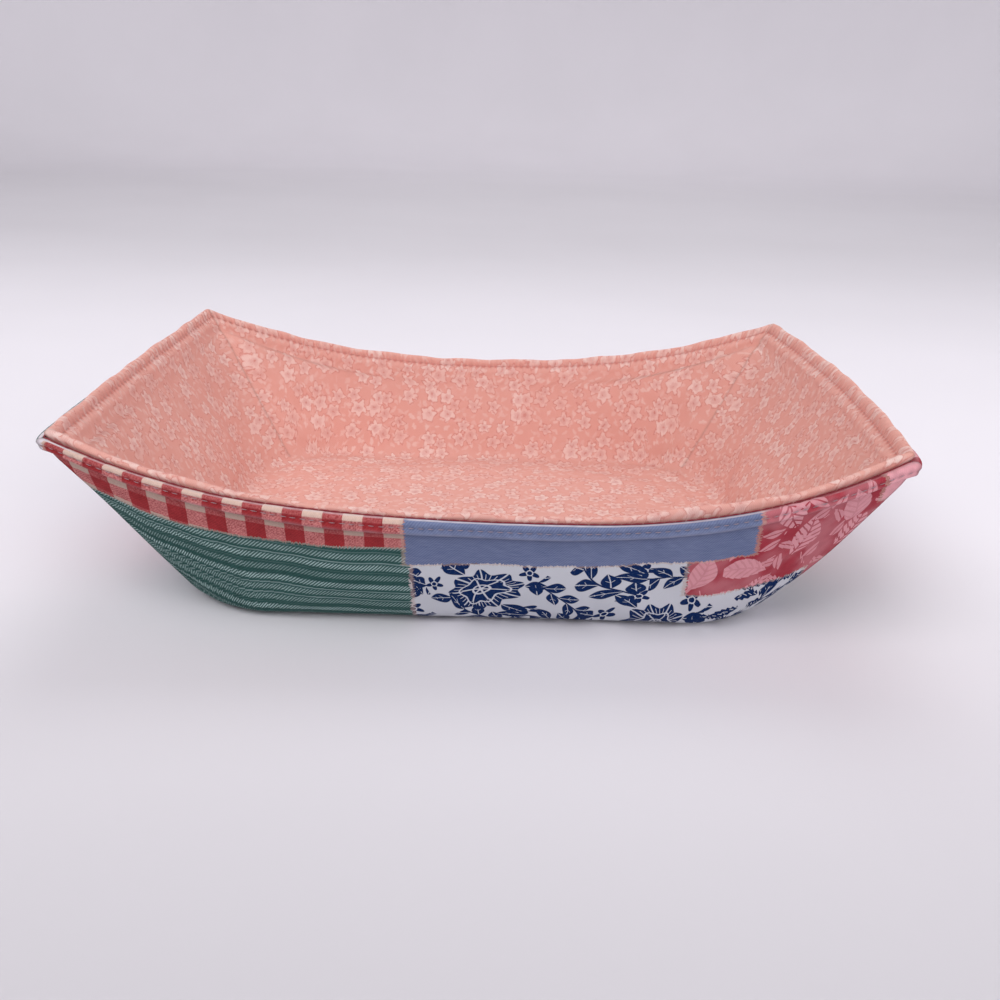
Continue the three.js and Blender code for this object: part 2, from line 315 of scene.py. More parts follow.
def rim_distance(sizes, side, share, depth):
    """Signed distance along the rim from the middle of each side, summed over short chords."""
    samples = np.linspace(-1, 1, RIM_CHORDS + 1)
    result = np.zeros(np.shape(share))
    for number in SIDES:
        points = wall_points(sizes, np.full(samples.size, number), samples, depth, 0.0)
        chords = np.linalg.norm(np.diff(points, axis=0), axis=1)
        run = np.concatenate([[0], np.cumsum(chords)])
        run -= np.interp(0, samples, run)
        result = np.where(side == number, np.interp(share, samples, run), result)
    return result


def rim_half_lengths(sizes, depth):
    """Half the length of each side's rim."""
    return rim_distance(sizes, SIDES, np.ones(SIDES.size), depth)


class Cloth:
    """Rows of one cloth up its visible face, over the fold at the rim and down its turned-in edge.

    Each row has a depth, a drop and a way: its distance down the cloth from the top of the fold, which is
    negative beyond it.
    """

    def __init__(self, sizes, plies, wall_depth, rim_depth, turned_depth, room):
        self.sizes = sizes
        self.side, self.share, self.share_end = round_the_wall()
        self.wall_depth = wall_depth
        self.room = room
        self.fold = abs(turned_depth - rim_depth) / 2
        quarter = self.fold * np.pi / 2
        length = wall_length(sizes, self.side, self.share, wall_depth, room)
        climbed = np.linspace(0, 1, WALL_ROWS + 1)[1:, None]
        wall_drop = length * (1 - climbed) + plies.thin_drop * climbed
        hem_drop = np.array(HEM_DROPS)[:, None] * MM
        turn = np.linspace(0, np.pi, FOLD_ROWS + 1)[:, None]
        turned_drop = np.array(TURNED_DROPS)[:, None] * MM
        middle = (rim_depth + turned_depth) / 2
        fold_depth = middle + (rim_depth - middle) * np.cos(turn)
        flatness = np.where(turn > np.pi / 2, SEAM_SIDE_HEIGHT, 1.0)
        fold_drop = self.fold * (1 - np.sin(turn)) * flatness
        ones = np.ones(COLUMNS)
        self.drop = np.concatenate([wall_drop, hem_drop * ones, fold_drop * ones, turned_drop * ones])
        depth = [np.full((WALL_ROWS, 1), wall_depth), np.full(hem_drop.shape, rim_depth), fold_depth,
                 np.full(turned_drop.shape, turned_depth)]
        self.depth = np.concatenate(depth)
        self.rooms = np.where(np.arange(self.depth.size) < WALL_ROWS, room, 0.0)[:, None]
        face_way = np.concatenate([wall_drop, hem_drop * ones]) - self.fold + quarter
        fold_way = (quarter - self.fold * turn) * ones
        turned_way = -(quarter + turned_drop - self.fold) * ones
        self.way = np.concatenate([face_way, fold_way, turned_way])

    def floor_edge(self):
        """Ring of points where the floor turns up into the wall."""
        return wall_points(self.sizes, self.side, self.share, self.wall_depth, np.inf, self.room)

    def wall(self):
        """Rows of points from the bend over the rim to the cloth's cut edge."""
        side = self.side[None, :]
        share = self.share[None, :]
        return wall_points(self.sizes, side, share, self.depth, self.drop, self.rooms)

    def flat_pattern(self, share):
        """Places on the flat cloth, in millimetres: the floor as it lies, and the walls opened out round it.

        A point's share of the way up the wall carries it from the floor's edge to its place along the rim.
        """
        sizes = self.sizes
        length = wall_length(sizes, self.side, share, self.wall_depth, self.room)
        path = length - self.fold + self.fold * np.pi / 2
        foot_along, foot_out, _, _, _ = wall_outline(sizes, self.side, share, self.wall_depth, self.room)
        middle = wall_length(sizes, SIDES, np.zeros(SIDES.size), self.wall_depth, self.room)
        half_out = np.where(SIDES % 2 == 0, sizes.floor_depth, sizes.floor_length) / 2
        rim_along = rim_distance(sizes, self.side, share, self.wall_depth)
        rim_out = (half_out + middle)[self.side]
        way = np.concatenate([path[None], self.way])
        climbed = 1 - way / path
        along = foot_along + (rim_along - foot_along) * climbed
        out = foot_out + (rim_out - foot_out) * climbed
        return np.stack(to_plan(self.side, along, out), axis=-1) / MM

    def hem_line(self, share):
        """Distance round the rim and distance down the cloth from the top of the fold, in millimetres."""
        halves = rim_half_lengths(self.sizes, self.wall_depth)
        start = np.concatenate([[0], np.cumsum(2 * halves)[:-1]]) + halves
        around = start[self.side] + rim_distance(self.sizes, self.side, share, self.wall_depth)
        length = wall_length(self.sizes, self.side, share, self.wall_depth, self.room)
        way = np.concatenate([length[None], self.way])
        return np.stack(np.broadcast_arrays(around, way), axis=-1) / MM


def floor_patch(ring):
    """Fills a closed ring with a Coons patch: the blend of its opposite edges, less that of its corners."""
    long_end = LONG_COLUMNS
    right_end = long_end + SHORT_COLUMNS
    rear_end = right_end + LONG_COLUMNS
    closed = np.concatenate([ring, ring[:1]])
    front = closed[:long_end + 1]
    right = closed[long_end:right_end + 1]
    rear = closed[right_end:rear_end + 1][::-1]
    left = closed[rear_end:][::-1]
    s = np.linspace(0, 1, LONG_COLUMNS + 1)[None, :, None]
    t = np.linspace(0, 1, SHORT_COLUMNS + 1)[:, None, None]
    between_long = (1 - t) * front[None] + t * rear[None]
    between_short = (1 - s) * left[:, None] + s * right[:, None]
    corners = (1 - t) * ((1 - s) * front[0] + s * front[-1]) + t * ((1 - s) * rear[0] + s * rear[-1])
    return between_long + between_short - corners


def pocket_faces(row_count, inward):
    """Quads of a floor grid and of the wall rows that rise from its edge, the floor's quads, and rings."""
    grid = np.arange(FLOOR_POINTS).reshape(FLOOR_SHAPE)
    edge = np.concatenate([grid[0, :-1], grid[:-1, -1], grid[-1, :0:-1], grid[:0:-1, 0]])
    rows = grid.size + np.arange(row_count * COLUMNS).reshape(row_count, COLUMNS)
    rings = np.concatenate([edge[None], rows])
    ahead = np.roll(rings, -1, axis=1)
    wall = np.stack([rings[:-1], ahead[:-1], ahead[1:], rings[1:]], axis=-1).reshape(-1, 4)
    floor = np.stack([grid[:-1, :-1], grid[1:, :-1], grid[1:, 1:], grid[:-1, 1:]], axis=-1).reshape(-1, 4)
    faces = np.concatenate([floor, wall])
    if inward:
        faces = faces[:, ::-1]
    return faces, floor, rings


def new_mesh(name, points, *faces):
    """A mesh object at the origin, smooth shaded, from whole arrays of points and of faces."""
    mesh = bpy.data.meshes.new(name)
    mesh.from_pydata(points.reshape(-1, 3).tolist(), [], sum((group.tolist() for group in faces), []))
    mesh.polygons.foreach_set("use_smooth", np.ones(len(mesh.polygons), dtype=bool))
    mesh.validate()
    mesh.update()
    piece = bpy.data.objects.new(name, mesh)
    bpy.context.scene.collection.objects.link(piece)
    return piece


def add_uv(piece, name, corners):
    layer = piece.data.uv_layers.new(name=name)
    layer.data.foreach_set("uv", corners.astype(np.float32).ravel())


def unit(vectors):
    return vectors / np.maximum(np.linalg.norm(vectors, axis=-1, keepdims=True), 1e-12)


def surface_normals(rings):
    """Unit normals of a grid of rings, from the cross product of the ways round and up it."""
    around = np.roll(rings, -1, axis=1) - np.roll(rings, 1, axis=1)
    return unit(np.cross(around, np.gradient(rings, axis=0)))


def ripple(turn, seed, waves, falloff):
    """A smooth closed wave round the rim: a sum of whole sine waves with seeded phases, about -1 to 1."""
    random = np.random.default_rng(seed)
    waves = np.asarray(waves)
    strength = random.uniform(0.5, 1.0, waves.size) * (waves[0] / waves) ** falloff
    phase = random.uniform(0, TURN, waves.size)
    turns = np.asarray(turn)[..., None]
    total = np.sum(strength * np.sin(TURN * waves * turns + phase), axis=-1)
    return total / np.sqrt(np.sum(strength ** 2))


def bump(value, middle, width):
    """A bell of height 1 about a middle."""
    return np.exp(-((value - middle) / width) ** 2)


def smooth_step(value, low, high):
    """0 below low, 1 above high, and a cubic between."""
    share = np.clip((value - low) / (high - low), 0, 1)
    return share * share * (3 - 2 * share)


class CozyPiece:
    """What every operator that sews a piece shares."""

    bl_options = {"REGISTER", "UNDO"}

    @staticmethod
    def settle(piece, finish, slot, *nodes):
        """Puts the finish on a piece, hides the CAD nodes that it stands for and hangs it on the body it
        rides on.
        The slot is not used.
        """
        piece.data.materials.append(finish)
        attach(piece, BODY)
        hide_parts(*nodes)


def make_cloth(name, cloth, inward, relief, rise, softness):
    """One cloth: its grid moved along its normals by a settled and a sewn relief, its UV maps and darts."""
    edge = cloth.floor_edge()
    wall = cloth.wall()
    rings = np.concatenate([edge[None], wall])
    floor = floor_patch(edge)
    faces, floor_faces, ring_ids = pocket_faces(wall.shape[0], inward)
    points = np.concatenate([floor.reshape(-1, 3), wall.reshape(-1, 3)])
    piece = new_mesh(name, points, faces)
    down = np.tile([0.0, 0.0, -1.0], (FLOOR_POINTS, 1))
    normals = np.concatenate([down, surface_normals(rings)[1:].reshape(-1, 3)])
    moved = points + normals * softness.settle(piece, points, normals)[:, None]
    moved[FLOOR_POINTS:] += normals[FLOOR_POINTS:] * relief.reshape(-1, 1)
    moved[FLOOR_POINTS:, 2] += rise.ravel()
    piece.data.vertices.foreach_set("co", moved.astype(np.float32).ravel())
    add_flat_maps(piece, cloth, floor, floor_faces, inward)
    add_dart_distance(piece, rings)
    crease_darts(piece, ring_ids)
    piece.data.update()
    return piece


def add_flat_maps(piece, cloth, floor, floor_faces, inward):
    """UV maps in millimetres: the place on the flat cloth, and the place along and down the hem."""
    floor_uv = floor.reshape(-1, 3)[:, :2][floor_faces] / MM
    far = np.full(floor_uv.shape, FAR)
    maps = (("flat_pattern", cloth.flat_pattern, floor_uv), ("hem_line", cloth.hem_line, far))
    for name, place, on_floor in maps:
        start = place(cloth.share)
        end = place(cloth.share_end)
        on_wall = np.stack([start[:-1], end[:-1], end[1:], start[1:]], axis=2).reshape(-1, 4, 2)
        corners = np.concatenate([on_floor, on_wall])
        add_uv(piece, name, corners[:, ::-1] if inward else corners)


def add_dart_distance(piece, rings):
    """Distance of each wall point from the nearest dart seam in its own row, in millimetres."""
    seams = rings[1:, DARTS]
    away = np.linalg.norm(rings[1:, :, None] - seams[:, None], axis=-1).min(axis=2) / MM
    distance = np.concatenate([np.full(FLOOR_POINTS, FAR), away.ravel()])
    layer = piece.data.attributes.new("dart_distance", "FLOAT", "POINT")
    layer.data.foreach_set("value", distance.astype(np.float32))


def crease_darts(piece, ring_ids):
    """Keeps the four corner seams crisp under the subdivision."""
    on_dart = np.zeros(len(piece.data.vertices), dtype=bool)
    on_dart[ring_ids[:, DARTS].ravel()] = True
    ends = np.zeros(len(piece.data.edges) * 2, dtype=np.int32)
    piece.data.edges.foreach_get("vertices", ends)
    both = on_dart[ends.reshape(-1, 2)].all(axis=1)
    crease = piece.data.attributes.new("crease_edge", "FLOAT", "EDGE")
    crease.data.foreach_set("value", np.where(both, DART_CREASE, 0.0).astype(np.float32))


class Softness(NamedTuple):
    """How a cloth settles over its batting: a cloth simulation with the sewn lines held.

    The cloth grows by a share and is pressed along its normals. Only the part of each point's move that
    lies along its normal is kept, and it nears a limit on each side as a hyperbolic tangent does.
    """

    growth: float
    pressure: float
    bending: float
    outward: float
    inward: float
    floor_held: bool
    frames: int = 24
    quality: int = 6
    mass: float = 0.2

    def held_points(self, count):
        """Points that stitches and table hold: the hem, the darts, the floor's edge and maybe the floor."""
        wall = np.zeros((count // COLUMNS, COLUMNS), dtype=bool)
        wall[WALL_ROWS - 1:] = True
        wall[0] = True
        wall[:, DARTS] = True
        floor = np.full(FLOOR_SHAPE, self.floor_held)
        floor[[0, -1]] = True
        floor[:, [0, -1]] = True
        return np.concatenate([floor.ravel(), wall.ravel()])

    def settle(self, piece, points, normals):
        held = piece.vertex_groups.new(name="held")
        held.add(np.flatnonzero(self.held_points(len(points) - FLOOR_POINTS)).tolist(), 1.0, "REPLACE")
        modifier = piece.modifiers.new("settle", "CLOTH")
        modifier.point_cache.frame_end = self.frames
        modifier.collision_settings.use_collision = False
        settings = modifier.settings
        settings.quality = self.quality
        settings.mass = self.mass
        settings.bending_stiffness = self.bending
        settings.shrink_min = -self.growth
        settings.use_pressure = True
        settings.uniform_pressure_force = self.pressure
        settings.effector_weights.gravity = 0.0
        settings.vertex_group_mass = held.name
        scene = bpy.context.scene
        for number in range(1, self.frames + 1):
            scene.frame_set(number)
        settled = final_points(piece)
        piece.modifiers.remove(modifier)
        piece.vertex_groups.remove(held)
        scene.frame_set(1)
        along = np.sum((settled - points) * normals, axis=1)
        limit = np.where(along > 0, self.outward, self.inward)
        return limit * np.tanh(along / limit)


def final_points(piece):
    """Points of a piece after its modifiers."""
    mesh = piece.evaluated_get(bpy.context.evaluated_depsgraph_get()).data
    co = np.zeros(len(mesh.vertices) * 3, dtype=np.float32)
    mesh.vertices.foreach_get("co", co)
    return co.reshape(-1, 3).astype(float)


def thicken(piece, thickness):
    """One subdivision, then the cloth's thickness on the hidden side."""
    smooth = piece.modifiers.new("smooth", "SUBSURF")
    smooth.levels = 1
    smooth.render_levels = 1
    solid = piece.modifiers.new("thickness", "SOLIDIFY")
    solid.thickness = thickness
    solid.offset = -1.0
    solid.use_rim = True


def turn_of(cloth):
    """Place of each column round the rim, from 0 to 1."""
    around = cloth.hem_line(cloth.share)[0, :, 0]
    total = 2 * np.sum(rim_half_lengths(cloth.sizes, cloth.wall_depth)) / MM
    return around / total


def dart_pull(cloth):
    """How near each column is to a dart: 1 at the seam, falling off as a bell over a few columns."""
    return bump(1 - np.abs(cloth.share), 0.0, 0.06)[None]


def right_corner(cloth):
    """How near each column is to the front right corner, as a bell over a third of either side."""
    toward = np.choose(cloth.side, [cloth.share, -cloth.share, -1.0, -1.0])
    return bump(1 - toward, 0.0, 0.35)[None]


# Swells and hollows of the hems: height, place down the cloth from the fold's top and width, in millimetres
COVER_HEM = {
    "upper roll": (0.2, 1.0, 0.7),
    "lower roll": (0.5, 3.7, 0.9),
    "stitched groove": (-0.35, TOPSTITCH_WAY, 0.5),
    "crease": (-0.3, HEM_EDGE_WAY + 1.3, 1.3),
}
LINING_HEM = {
    "roll": (-0.25, 0.9, 0.8),
    "soft band": (-0.45, 4.3, 1.5),
    "stitched groove": (0.45, TOPSTITCH_WAY, 0.6),
}

# Whole waves round the rim, of the puckers between stitches and of slower swells
COVER_PUCKERS = (61, 83, 107, 127)
LINING_PUCKERS = (67, 89, 103, 131)
COVER_SWAY = (5, 9, 14, 23)
LINING_WAVES = (17, 29, 41, 53)

# Levels of the edges in millimetres: at each side's middle and the tip after it, from the front's middle on
COVER_LEVELS = (0.0, -0.5, -1.2, -0.8, 0.0, -0.4, -0.6, -0.3)
LINING_LEVELS = (1.1, 2.3, 2.4, 2.2, 1.2, 1.7, 1.9, 1.5)
LINING_LEANS = (0.1, 1.1, 1.9, 1.5, 0.6, 0.8, 0.8, 0.5)


def hem_swells(way, swells):
    """Sum of the bells that a table of swells and hollows gives."""
    return sum(height * bump(way, middle, width) for height, middle, width in swells.values())


def cover_relief(cloth):
    """Padded hem of the cover, as a sum of bells and steps down the cloth and of waves round the rim.

    It has soft rolls on either side of the topstitching, a step where the turned-in cloth ends, puckers
    along the stitching, darts that are pulled in and a front right corner that is filled out.
    """
    way = cloth.way / MM
    turn = turn_of(cloth)[None]
    step_end = 1 - smooth_step(way, HEM_EDGE_WAY - 0.4, HEM_EDGE_WAY + 0.6)
    step = 0.9 * smooth_step(way, 0.3, 2.0) * step_end
    pucker = 0.13 * ripple(turn, 3, COVER_PUCKERS, 0.2) * bump(way, TOPSTITCH_WAY, 2.2)
    sway = 0.35 * (0.6 + ripple(turn, 4, COVER_SWAY, 0.5)) * bump(way, 14.0, 16.0)
    near_dart = dart_pull(cloth)
    pull = -0.5 * near_dart * bump(way, 24.0, 16.0)
    hem = (hem_swells(way, COVER_HEM) + step + pucker) * (1 - 0.2 * near_dart)
    off_table = smooth_step(cloth.wall()[..., 2] / MM, 2.0, 12.0)
    filled = 2.2 * right_corner(cloth) * off_table * bump(way, 36.0, 24.0)
    return (hem + sway + pull + filled) * MM


def lining_relief(cloth):
    """Hem of the lining: a roll above the topstitching, a groove along it and a soft band below."""
    way = cloth.way / MM
    pucker = 0.16 * ripple(turn_of(cloth)[None], 9, LINING_PUCKERS, 0.2) * bump(way, TOPSTITCH_WAY, 3.2)
    return (hem_swells(way, LINING_HEM) + pucker) * MM


def rim_level(cloth, levels):
    """A level for each column, blended along the rim between those at the sides' middles and tips."""
    turn = turn_of(cloth)
    middles = turn[DARTS + np.array(SIDE_COLUMNS) // 2]
    tips = np.append(turn[DARTS[1:]], 1.0)
    return np.interp(turn, np.stack([middles, tips], axis=1).ravel(), levels, period=1.0)


def cover_rise(cloth):
    """How far the cover's edge stays below the lining's on the two short sides."""
    return rim_level(cloth, COVER_LEVELS) * bump(cloth.way / MM, 0.0, 2.6) * MM


def lining_rise(cloth):
    """How far the lining's edge stands above the cover's.

    It is a soft wave, higher on the right and in two places in front where it has worked up out of the seam.
    """
    wave = 0.3 * ripple(turn_of(cloth), 7, LINING_WAVES, 0.3)
    worked_up = 1.4 * bump(cloth.share, 0.52, 0.14) + 0.7 * bump(cloth.share, 0.0, 0.1)
    lift = rim_level(cloth, LINING_LEVELS) + wave + np.where(cloth.side == FRONT, worked_up, 0.0)
    return lift * bump(cloth.way / MM, 0.0, 2.2) * MM


def lining_lean(cloth):
    """How far the lining's edge leans out over the cover's, most of all on the two short sides."""
    return rim_level(cloth, LINING_LEANS) * bump(cloth.way / MM, 0.0, 2.2) * MM


def ring_of(piece, row):
    """Final points and normals of one row of a cloth, after its modifiers."""
    mesh = piece.evaluated_get(bpy.context.evaluated_depsgraph_get()).data
    normal = np.zeros(len(mesh.vertices) * 3, dtype=np.float32)
    mesh.vertex_normals.foreach_get("vector", normal)
    first = FLOOR_POINTS + row * COLUMNS
    ring = slice(first, first + COLUMNS)
    return final_points(piece)[ring], normal.reshape(-1, 3)[ring].astype(float)


# Places along a stitch from end to end, as shares of its half length, and points round its thread
STITCH_PLACES = np.array([-1.0, -0.75, 0.0, 0.75, 1.0])
STITCH_SIDES = 6


def stitch_row(path, normals, pitch, radius, lift, dip, seed, closed=True, fill=0.45):
    """A row of stitches: short tubes along a path that rise from the cloth and dip back into it.

    A stitch is a ring of points carried along a few places; its radius and its height over the cloth fall
    to its ends, as a circle and a parabola do. Gives the points, the tubes' quads and the end caps.
    """
    if closed:
        path = np.concatenate([path, path[:1]])
        normals = np.concatenate([normals, normals[:1]])
    run = np.concatenate([[0], np.cumsum(np.linalg.norm(np.diff(path, axis=0), axis=1))])
    count = int(round(run[-1] / pitch))
    random = np.random.default_rng(seed)
    centre = (np.arange(count) + 0.5 + random.uniform(-0.06, 0.06, count)) * run[-1] / count
    half = fill * pitch * random.uniform(0.92, 1.05, count)
    at = centre[:, None] + STITCH_PLACES * half[:, None]
    at = at % run[-1] if closed else np.clip(at, 0, run[-1])
    spine = np.stack([np.interp(at, run, path[:, axis]) for axis in range(3)], axis=-1)
    up = unit(np.stack([np.interp(at, run, normals[:, axis]) for axis in range(3)], axis=-1))
    slant = random.uniform(-0.12, 0.12, count)[:, None] * STITCH_PLACES * radius
    across = unit(np.cross(up, unit(np.gradient(spine, axis=1))))
    height = lift - dip * STITCH_PLACES ** 2
    spine = spine + up * height[None, :, None] + across * slant[..., None]
    angle = np.linspace(0, TURN, STITCH_SIDES, endpoint=False)
    thick = radius * np.sqrt(1 - 0.8 * STITCH_PLACES ** 2)
    ring = np.cos(angle)[:, None] * up[:, :, None] + np.sin(angle)[:, None] * across[:, :, None]
    points = spine[:, :, None] + ring * thick[None, :, None, None]
    ids = np.arange(count * thick.size * STITCH_SIDES).reshape(count, thick.size, STITCH_SIDES)
    ahead = np.roll(ids, -1, axis=2)
    tube = np.stack([ids[:, :-1], ids[:, 1:], ahead[:, 1:], ahead[:, :-1]], axis=-1).reshape(-1, 4)
    return points, tube, np.concatenate([ids[:, 0], ids[:, -1, ::-1]])


class Field:
    """A socket whose value changes over a surface. Python operators on it add Math nodes."""

    def __init__(self, finish, socket):
        self.finish = finish
        self.socket = socket

    def math(self, operation, *values):
        return self.finish.node("ShaderNodeMath", {"operation": operation}, dict(enumerate(values)))

    def __add__(self, other):
        return self.math("ADD", self, other)

    __radd__ = __add__

    def __sub__(self, other):
        return self.math("SUBTRACT", self, other)

    def __rsub__(self, other):
        return self.math("SUBTRACT", other, self)

    def __mul__(self, other):
        return self.math("MULTIPLY", self, other)

    __rmul__ = __mul__

    def __truediv__(self, other):
        return self.math("DIVIDE", self, other)

    def __rtruediv__(self, other):
        return self.math("DIVIDE", other, self)

    def __pow__(self, other):
        return self.math("POWER", self, other)

    def __abs__(self):
        return self.math("ABSOLUTE", self)

    def sin(self):
        return self.math("SINE", self)

    def cos(self):
        return self.math("COSINE", self)

    def floor(self):
        return self.math("FLOOR", self)

    def fraction(self):
        return self.math("FRACT", self)

    def root(self):
        return self.math("SQRT", self)

    def exp(self):
        return self.math("EXPONENT", self)

    def angle(self, other):
        return self.math("ARCTAN2", self, other)

    def least(self, other):
        return self.math("MINIMUM", self, other)

    def most(self, other):
        return self.math("MAXIMUM", self, other)

    def within(self, middle, reach):
        """1 where the value is no further than reach from the middle."""
        return self.math("COMPARE", self, middle, reach)

    def over(self, edge, soft):
        """0 below an edge and 1 above it, blended over a soft width."""
        limits = {"Value": self, "From Min": edge - soft, "From Max": edge + soft}
        return self.finish.node("ShaderNodeMapRange", {"interpolation_type": "SMOOTHSTEP"}, limits)

    def line(self, half, soft):
        """1 where the value is less than a half width from 0, blended over a soft width."""
        return (half - abs(self)).over(0.0, soft)

    def gap(self, half, soft):
        """0 where the value is less than a half width from 0, blended over a soft width."""
        return (abs(self) - half).over(0.0, soft)

    def bell(self, sharpness):
        """1 where the value is 0, falling off as a bell to both sides."""
        return (self * self * -sharpness).exp()

    def wave(self, length):
        """Sine wave of a length."""
        return (self * (TURN / length)).sin()

    def stripes(self, start, repeat, pale, soft):
        """0 on a pale share at the start of each repeat and 1 on the rest."""
        return ((self + start) / repeat).fraction().over(pale, soft)

    def in_cell(self, size):
        """Distance from the middle of the repeat that the value falls in."""
        return ((self / size).fraction() - 0.5) * size


class Finish:
    """A material under construction."""

    def __init__(self, name, constants):
        self.material = bpy.data.materials.new(name)
        self.material.use_nodes = True
        self.tree = self.material.node_tree
        self.shader = self.tree.nodes["Principled BSDF"]
        for socket, value in constants.items():
            self.shader.inputs[socket].default_value = value

    def node(self, kind, settings=None, sockets=None, output=0):
        """Adds a node: its type, its settings, then the values or links of its sockets; gives one output."""
        made = self.tree.nodes.new(kind)
        for name, value in (settings or {}).items():
            setattr(made, name, value)
        for key, value in (sockets or {}).items():
            if isinstance(value, Field):
                self.tree.links.new(value.socket, made.inputs[key])
            else:
                made.inputs[key].default_value = value
        return Field(self, made.outputs[output])

    def parts(self, vector):
        """The three numbers of a vector or a colour."""
        split = self.node("ShaderNodeSeparateXYZ", None, {0: vector}).socket.node
        return [Field(self, output) for output in split.outputs]

    def place(self, uv_map):
        """The two distances that a UV map holds."""
        return self.parts(self.node("ShaderNodeUVMap", {"uv_map": uv_map}))[:2]

    def object_place(self):
        """The place on the object, in metres."""
        return self.parts(self.node("ShaderNodeTexCoord", None, None, "Object"))

    def point(self, x, y, z=0.0):
        return self.node("ShaderNodeCombineXYZ", None, {"X": x, "Y": y, "Z": z})

    def noise(self, x, y, detail, seed):
        """Smooth noise between 0 and 1 at a place given in its own wavelengths."""
        sockets = {"Vector": self.point(x, y, seed), "Scale": 1.0, "Detail": detail}
        return self.node("ShaderNodeTexNoise", {"noise_dimensions": "3D"}, sockets)

    def drift(self, x, y, detail, seed):
        """The same noise about 0."""
        return self.noise(x, y, detail, seed) - 0.5

    def scatter(self, x, y, size, jitter):
        """Random points about a size apart: distances from the nearest one, and its two random numbers."""
        sockets = {"Vector": self.point(x / size, y / size), "Scale": 1.0, "Randomness": jitter}
        near = self.node("ShaderNodeTexVoronoi", {"voronoi_dimensions": "2D"}, sockets).socket.node
        spot_x, spot_y, _ = self.parts(Field(self, near.outputs["Position"]))
        chance, other, _ = self.parts(Field(self, near.outputs["Color"]))
        return x - spot_x * size, y - spot_y * size, chance, other

    def mix(self, factor, first, second):
        """Colour that goes from first to second as factor goes from 0 to 1."""
        sockets = {0: factor, 6: tint(first), 7: tint(second)}
        return self.node("ShaderNodeMix", {"data_type": "RGBA"}, sockets, 2)

    def shade(self, colour, value):
        """A colour made darker or lighter by a value about 1."""
        grey = self.node("ShaderNodeCombineColor", None, {0: value, 1: value, 2: value})
        settings = {"data_type": "RGBA", "blend_type": "MULTIPLY"}
        return self.node("ShaderNodeMix", settings, {0: 1.0, 6: tint(colour), 7: grey}, 2)

    def feed(self, socket, value):
        self.tree.links.new(value.socket, self.shader.inputs[socket])

    def relief(self, height, distance):
        """Bumps of a height in units of a distance."""
        bumps = {"Strength": 1.0, "Distance": distance, "Height": height}
        self.feed("Normal", self.node("ShaderNodeBump", None, bumps, "Normal"))


def tint(colour):
    """A colour property with its alpha, or a field as it is."""
    return colour if isinstance(colour, Field) else (*colour[:3], 1.0)


COTTON = {"Roughness": 0.9, "Specular IOR Level": 0.05, "Sheen Weight": 0.02, "Sheen Roughness": 0.5}


def turned_by(x, y, angle):
    """The distances x and y, turned by an angle that may change over the surface."""
    changes = isinstance(angle, Field)
    cosine = angle.cos() if changes else float(np.cos(angle))
    sine = angle.sin() if changes else float(np.sin(angle))
    return x * cosine + y * sine, y * cosine - x * sine


def leaf(along, across, length, width):
    """How far inside a leaf a place is: its half width swells and shrinks as half a sine wave does."""
    return (along * (np.pi / length)).sin() * width - abs(across)


def polar(x, y):
    """Distance from the middle and angle about it."""
    return (x * x + y * y).root(), y.angle(x)


def petal_gaps(radius, angle, count, half, soft):
    """0 on lines between petals, which keep their half width from the middle out, and 1 beside them."""
    spokes = count / 2
    return (abs((angle * spokes).sin()) * radius / spokes - half).over(0.0, soft)


def gingham(finish, u, v, tucked, ink):
    """Checks of red warp and weft stripes.

    They are dark where both are red, nearly so on the warp and mottled on the weft. Some rows are lost in
    the tuck at the ridge of the hem. On the hem above the ridge the cream checks are painted lighter, as a
    painted highlight.
    """
    lost = tucked * 2.4
    warp = u.stripes(start=3.4, repeat=10.6, pale=0.5, soft=0.015)
    weft = (v - lost).stripes(start=94.7, repeat=8.0, pale=0.35, soft=0.02)
    threads = (finish.drift(u * 1.4, v * 3.4, 2.0, 1.0) + finish.drift(u * 3.4, v * 1.4, 2.0, 2.0)) * 1.5
    twill = (u + v).wave(0.9) * 0.08
    faded = finish.drift(u * 0.35, v * 0.35, 2.0, 3.0)
    on_warp = (0.22 + threads * 0.5 + faded * 0.3).most(0.0)
    on_weft = (0.54 + threads * 0.95 + twill + faded * 0.5).most(0.0).least(0.95)
    dark = finish.shade(ink.gingham_red, 1.0 + threads * 0.3 + twill + faded * 0.5)
    pink = warp * (1 - weft) * on_warp + weft * (1 - warp) * on_weft
    mottled = finish.mix(pink, dark, ink.gingham_pink)
    # Above the ridge the cream checks are painted lighter: a painted highlight on the hem band.
    cream = finish.shade(ink.gingham_cream, 1.0 + threads * 0.2 + tucked * 0.3)
    return finish.mix(1.0 - warp.most(weft), mottled, cream)


def ticking(finish, u, v, ink):
    """Heathered green twill with stripes of pale slanted threads, and thin pale lines between some."""
    pitch = 3.9
    first_stripe = 94.4
    line_below = 1.75
    wander = finish.drift(u * 0.06, v * 0.02, 1.0, 4.0) * 1.2
    down = v + first_stripe + wander
    stripe = (down / pitch).floor()
    uneven = finish.drift(u * 0.3, v * 0.3, 2.0, 12.0) * 0.5
    thread = (u + v * 0.95 + uneven).wave(1.0).over(0.4, 0.6)
    broad = down.in_cell(pitch).line(1.0, 0.45)
    strength = 0.75 + 0.25 * (stripe * 2.4).sin()
    line = (down + line_below).in_cell(pitch).line(0.22, 0.2) * (stripe * 1.7).sin().over(0.1, 0.5)
    heather = finish.drift(u * 0.5, v * 2.6, 3.0, 5.0)
    ground = finish.shade(ink.ticking_green, 1.0 + heather * 0.9 + (thread - 0.5) * 0.3)
    patchy = 0.3 + 1.1 * finish.noise(u * 0.14, v * 0.5, 2.0, 6.0)
    pale = (broad * strength * (0.08 + 0.92 * thread) * patchy).most(line * 0.45 * patchy)
    return finish.mix(pale.least(1.0), ground, ink.ticking_mint)


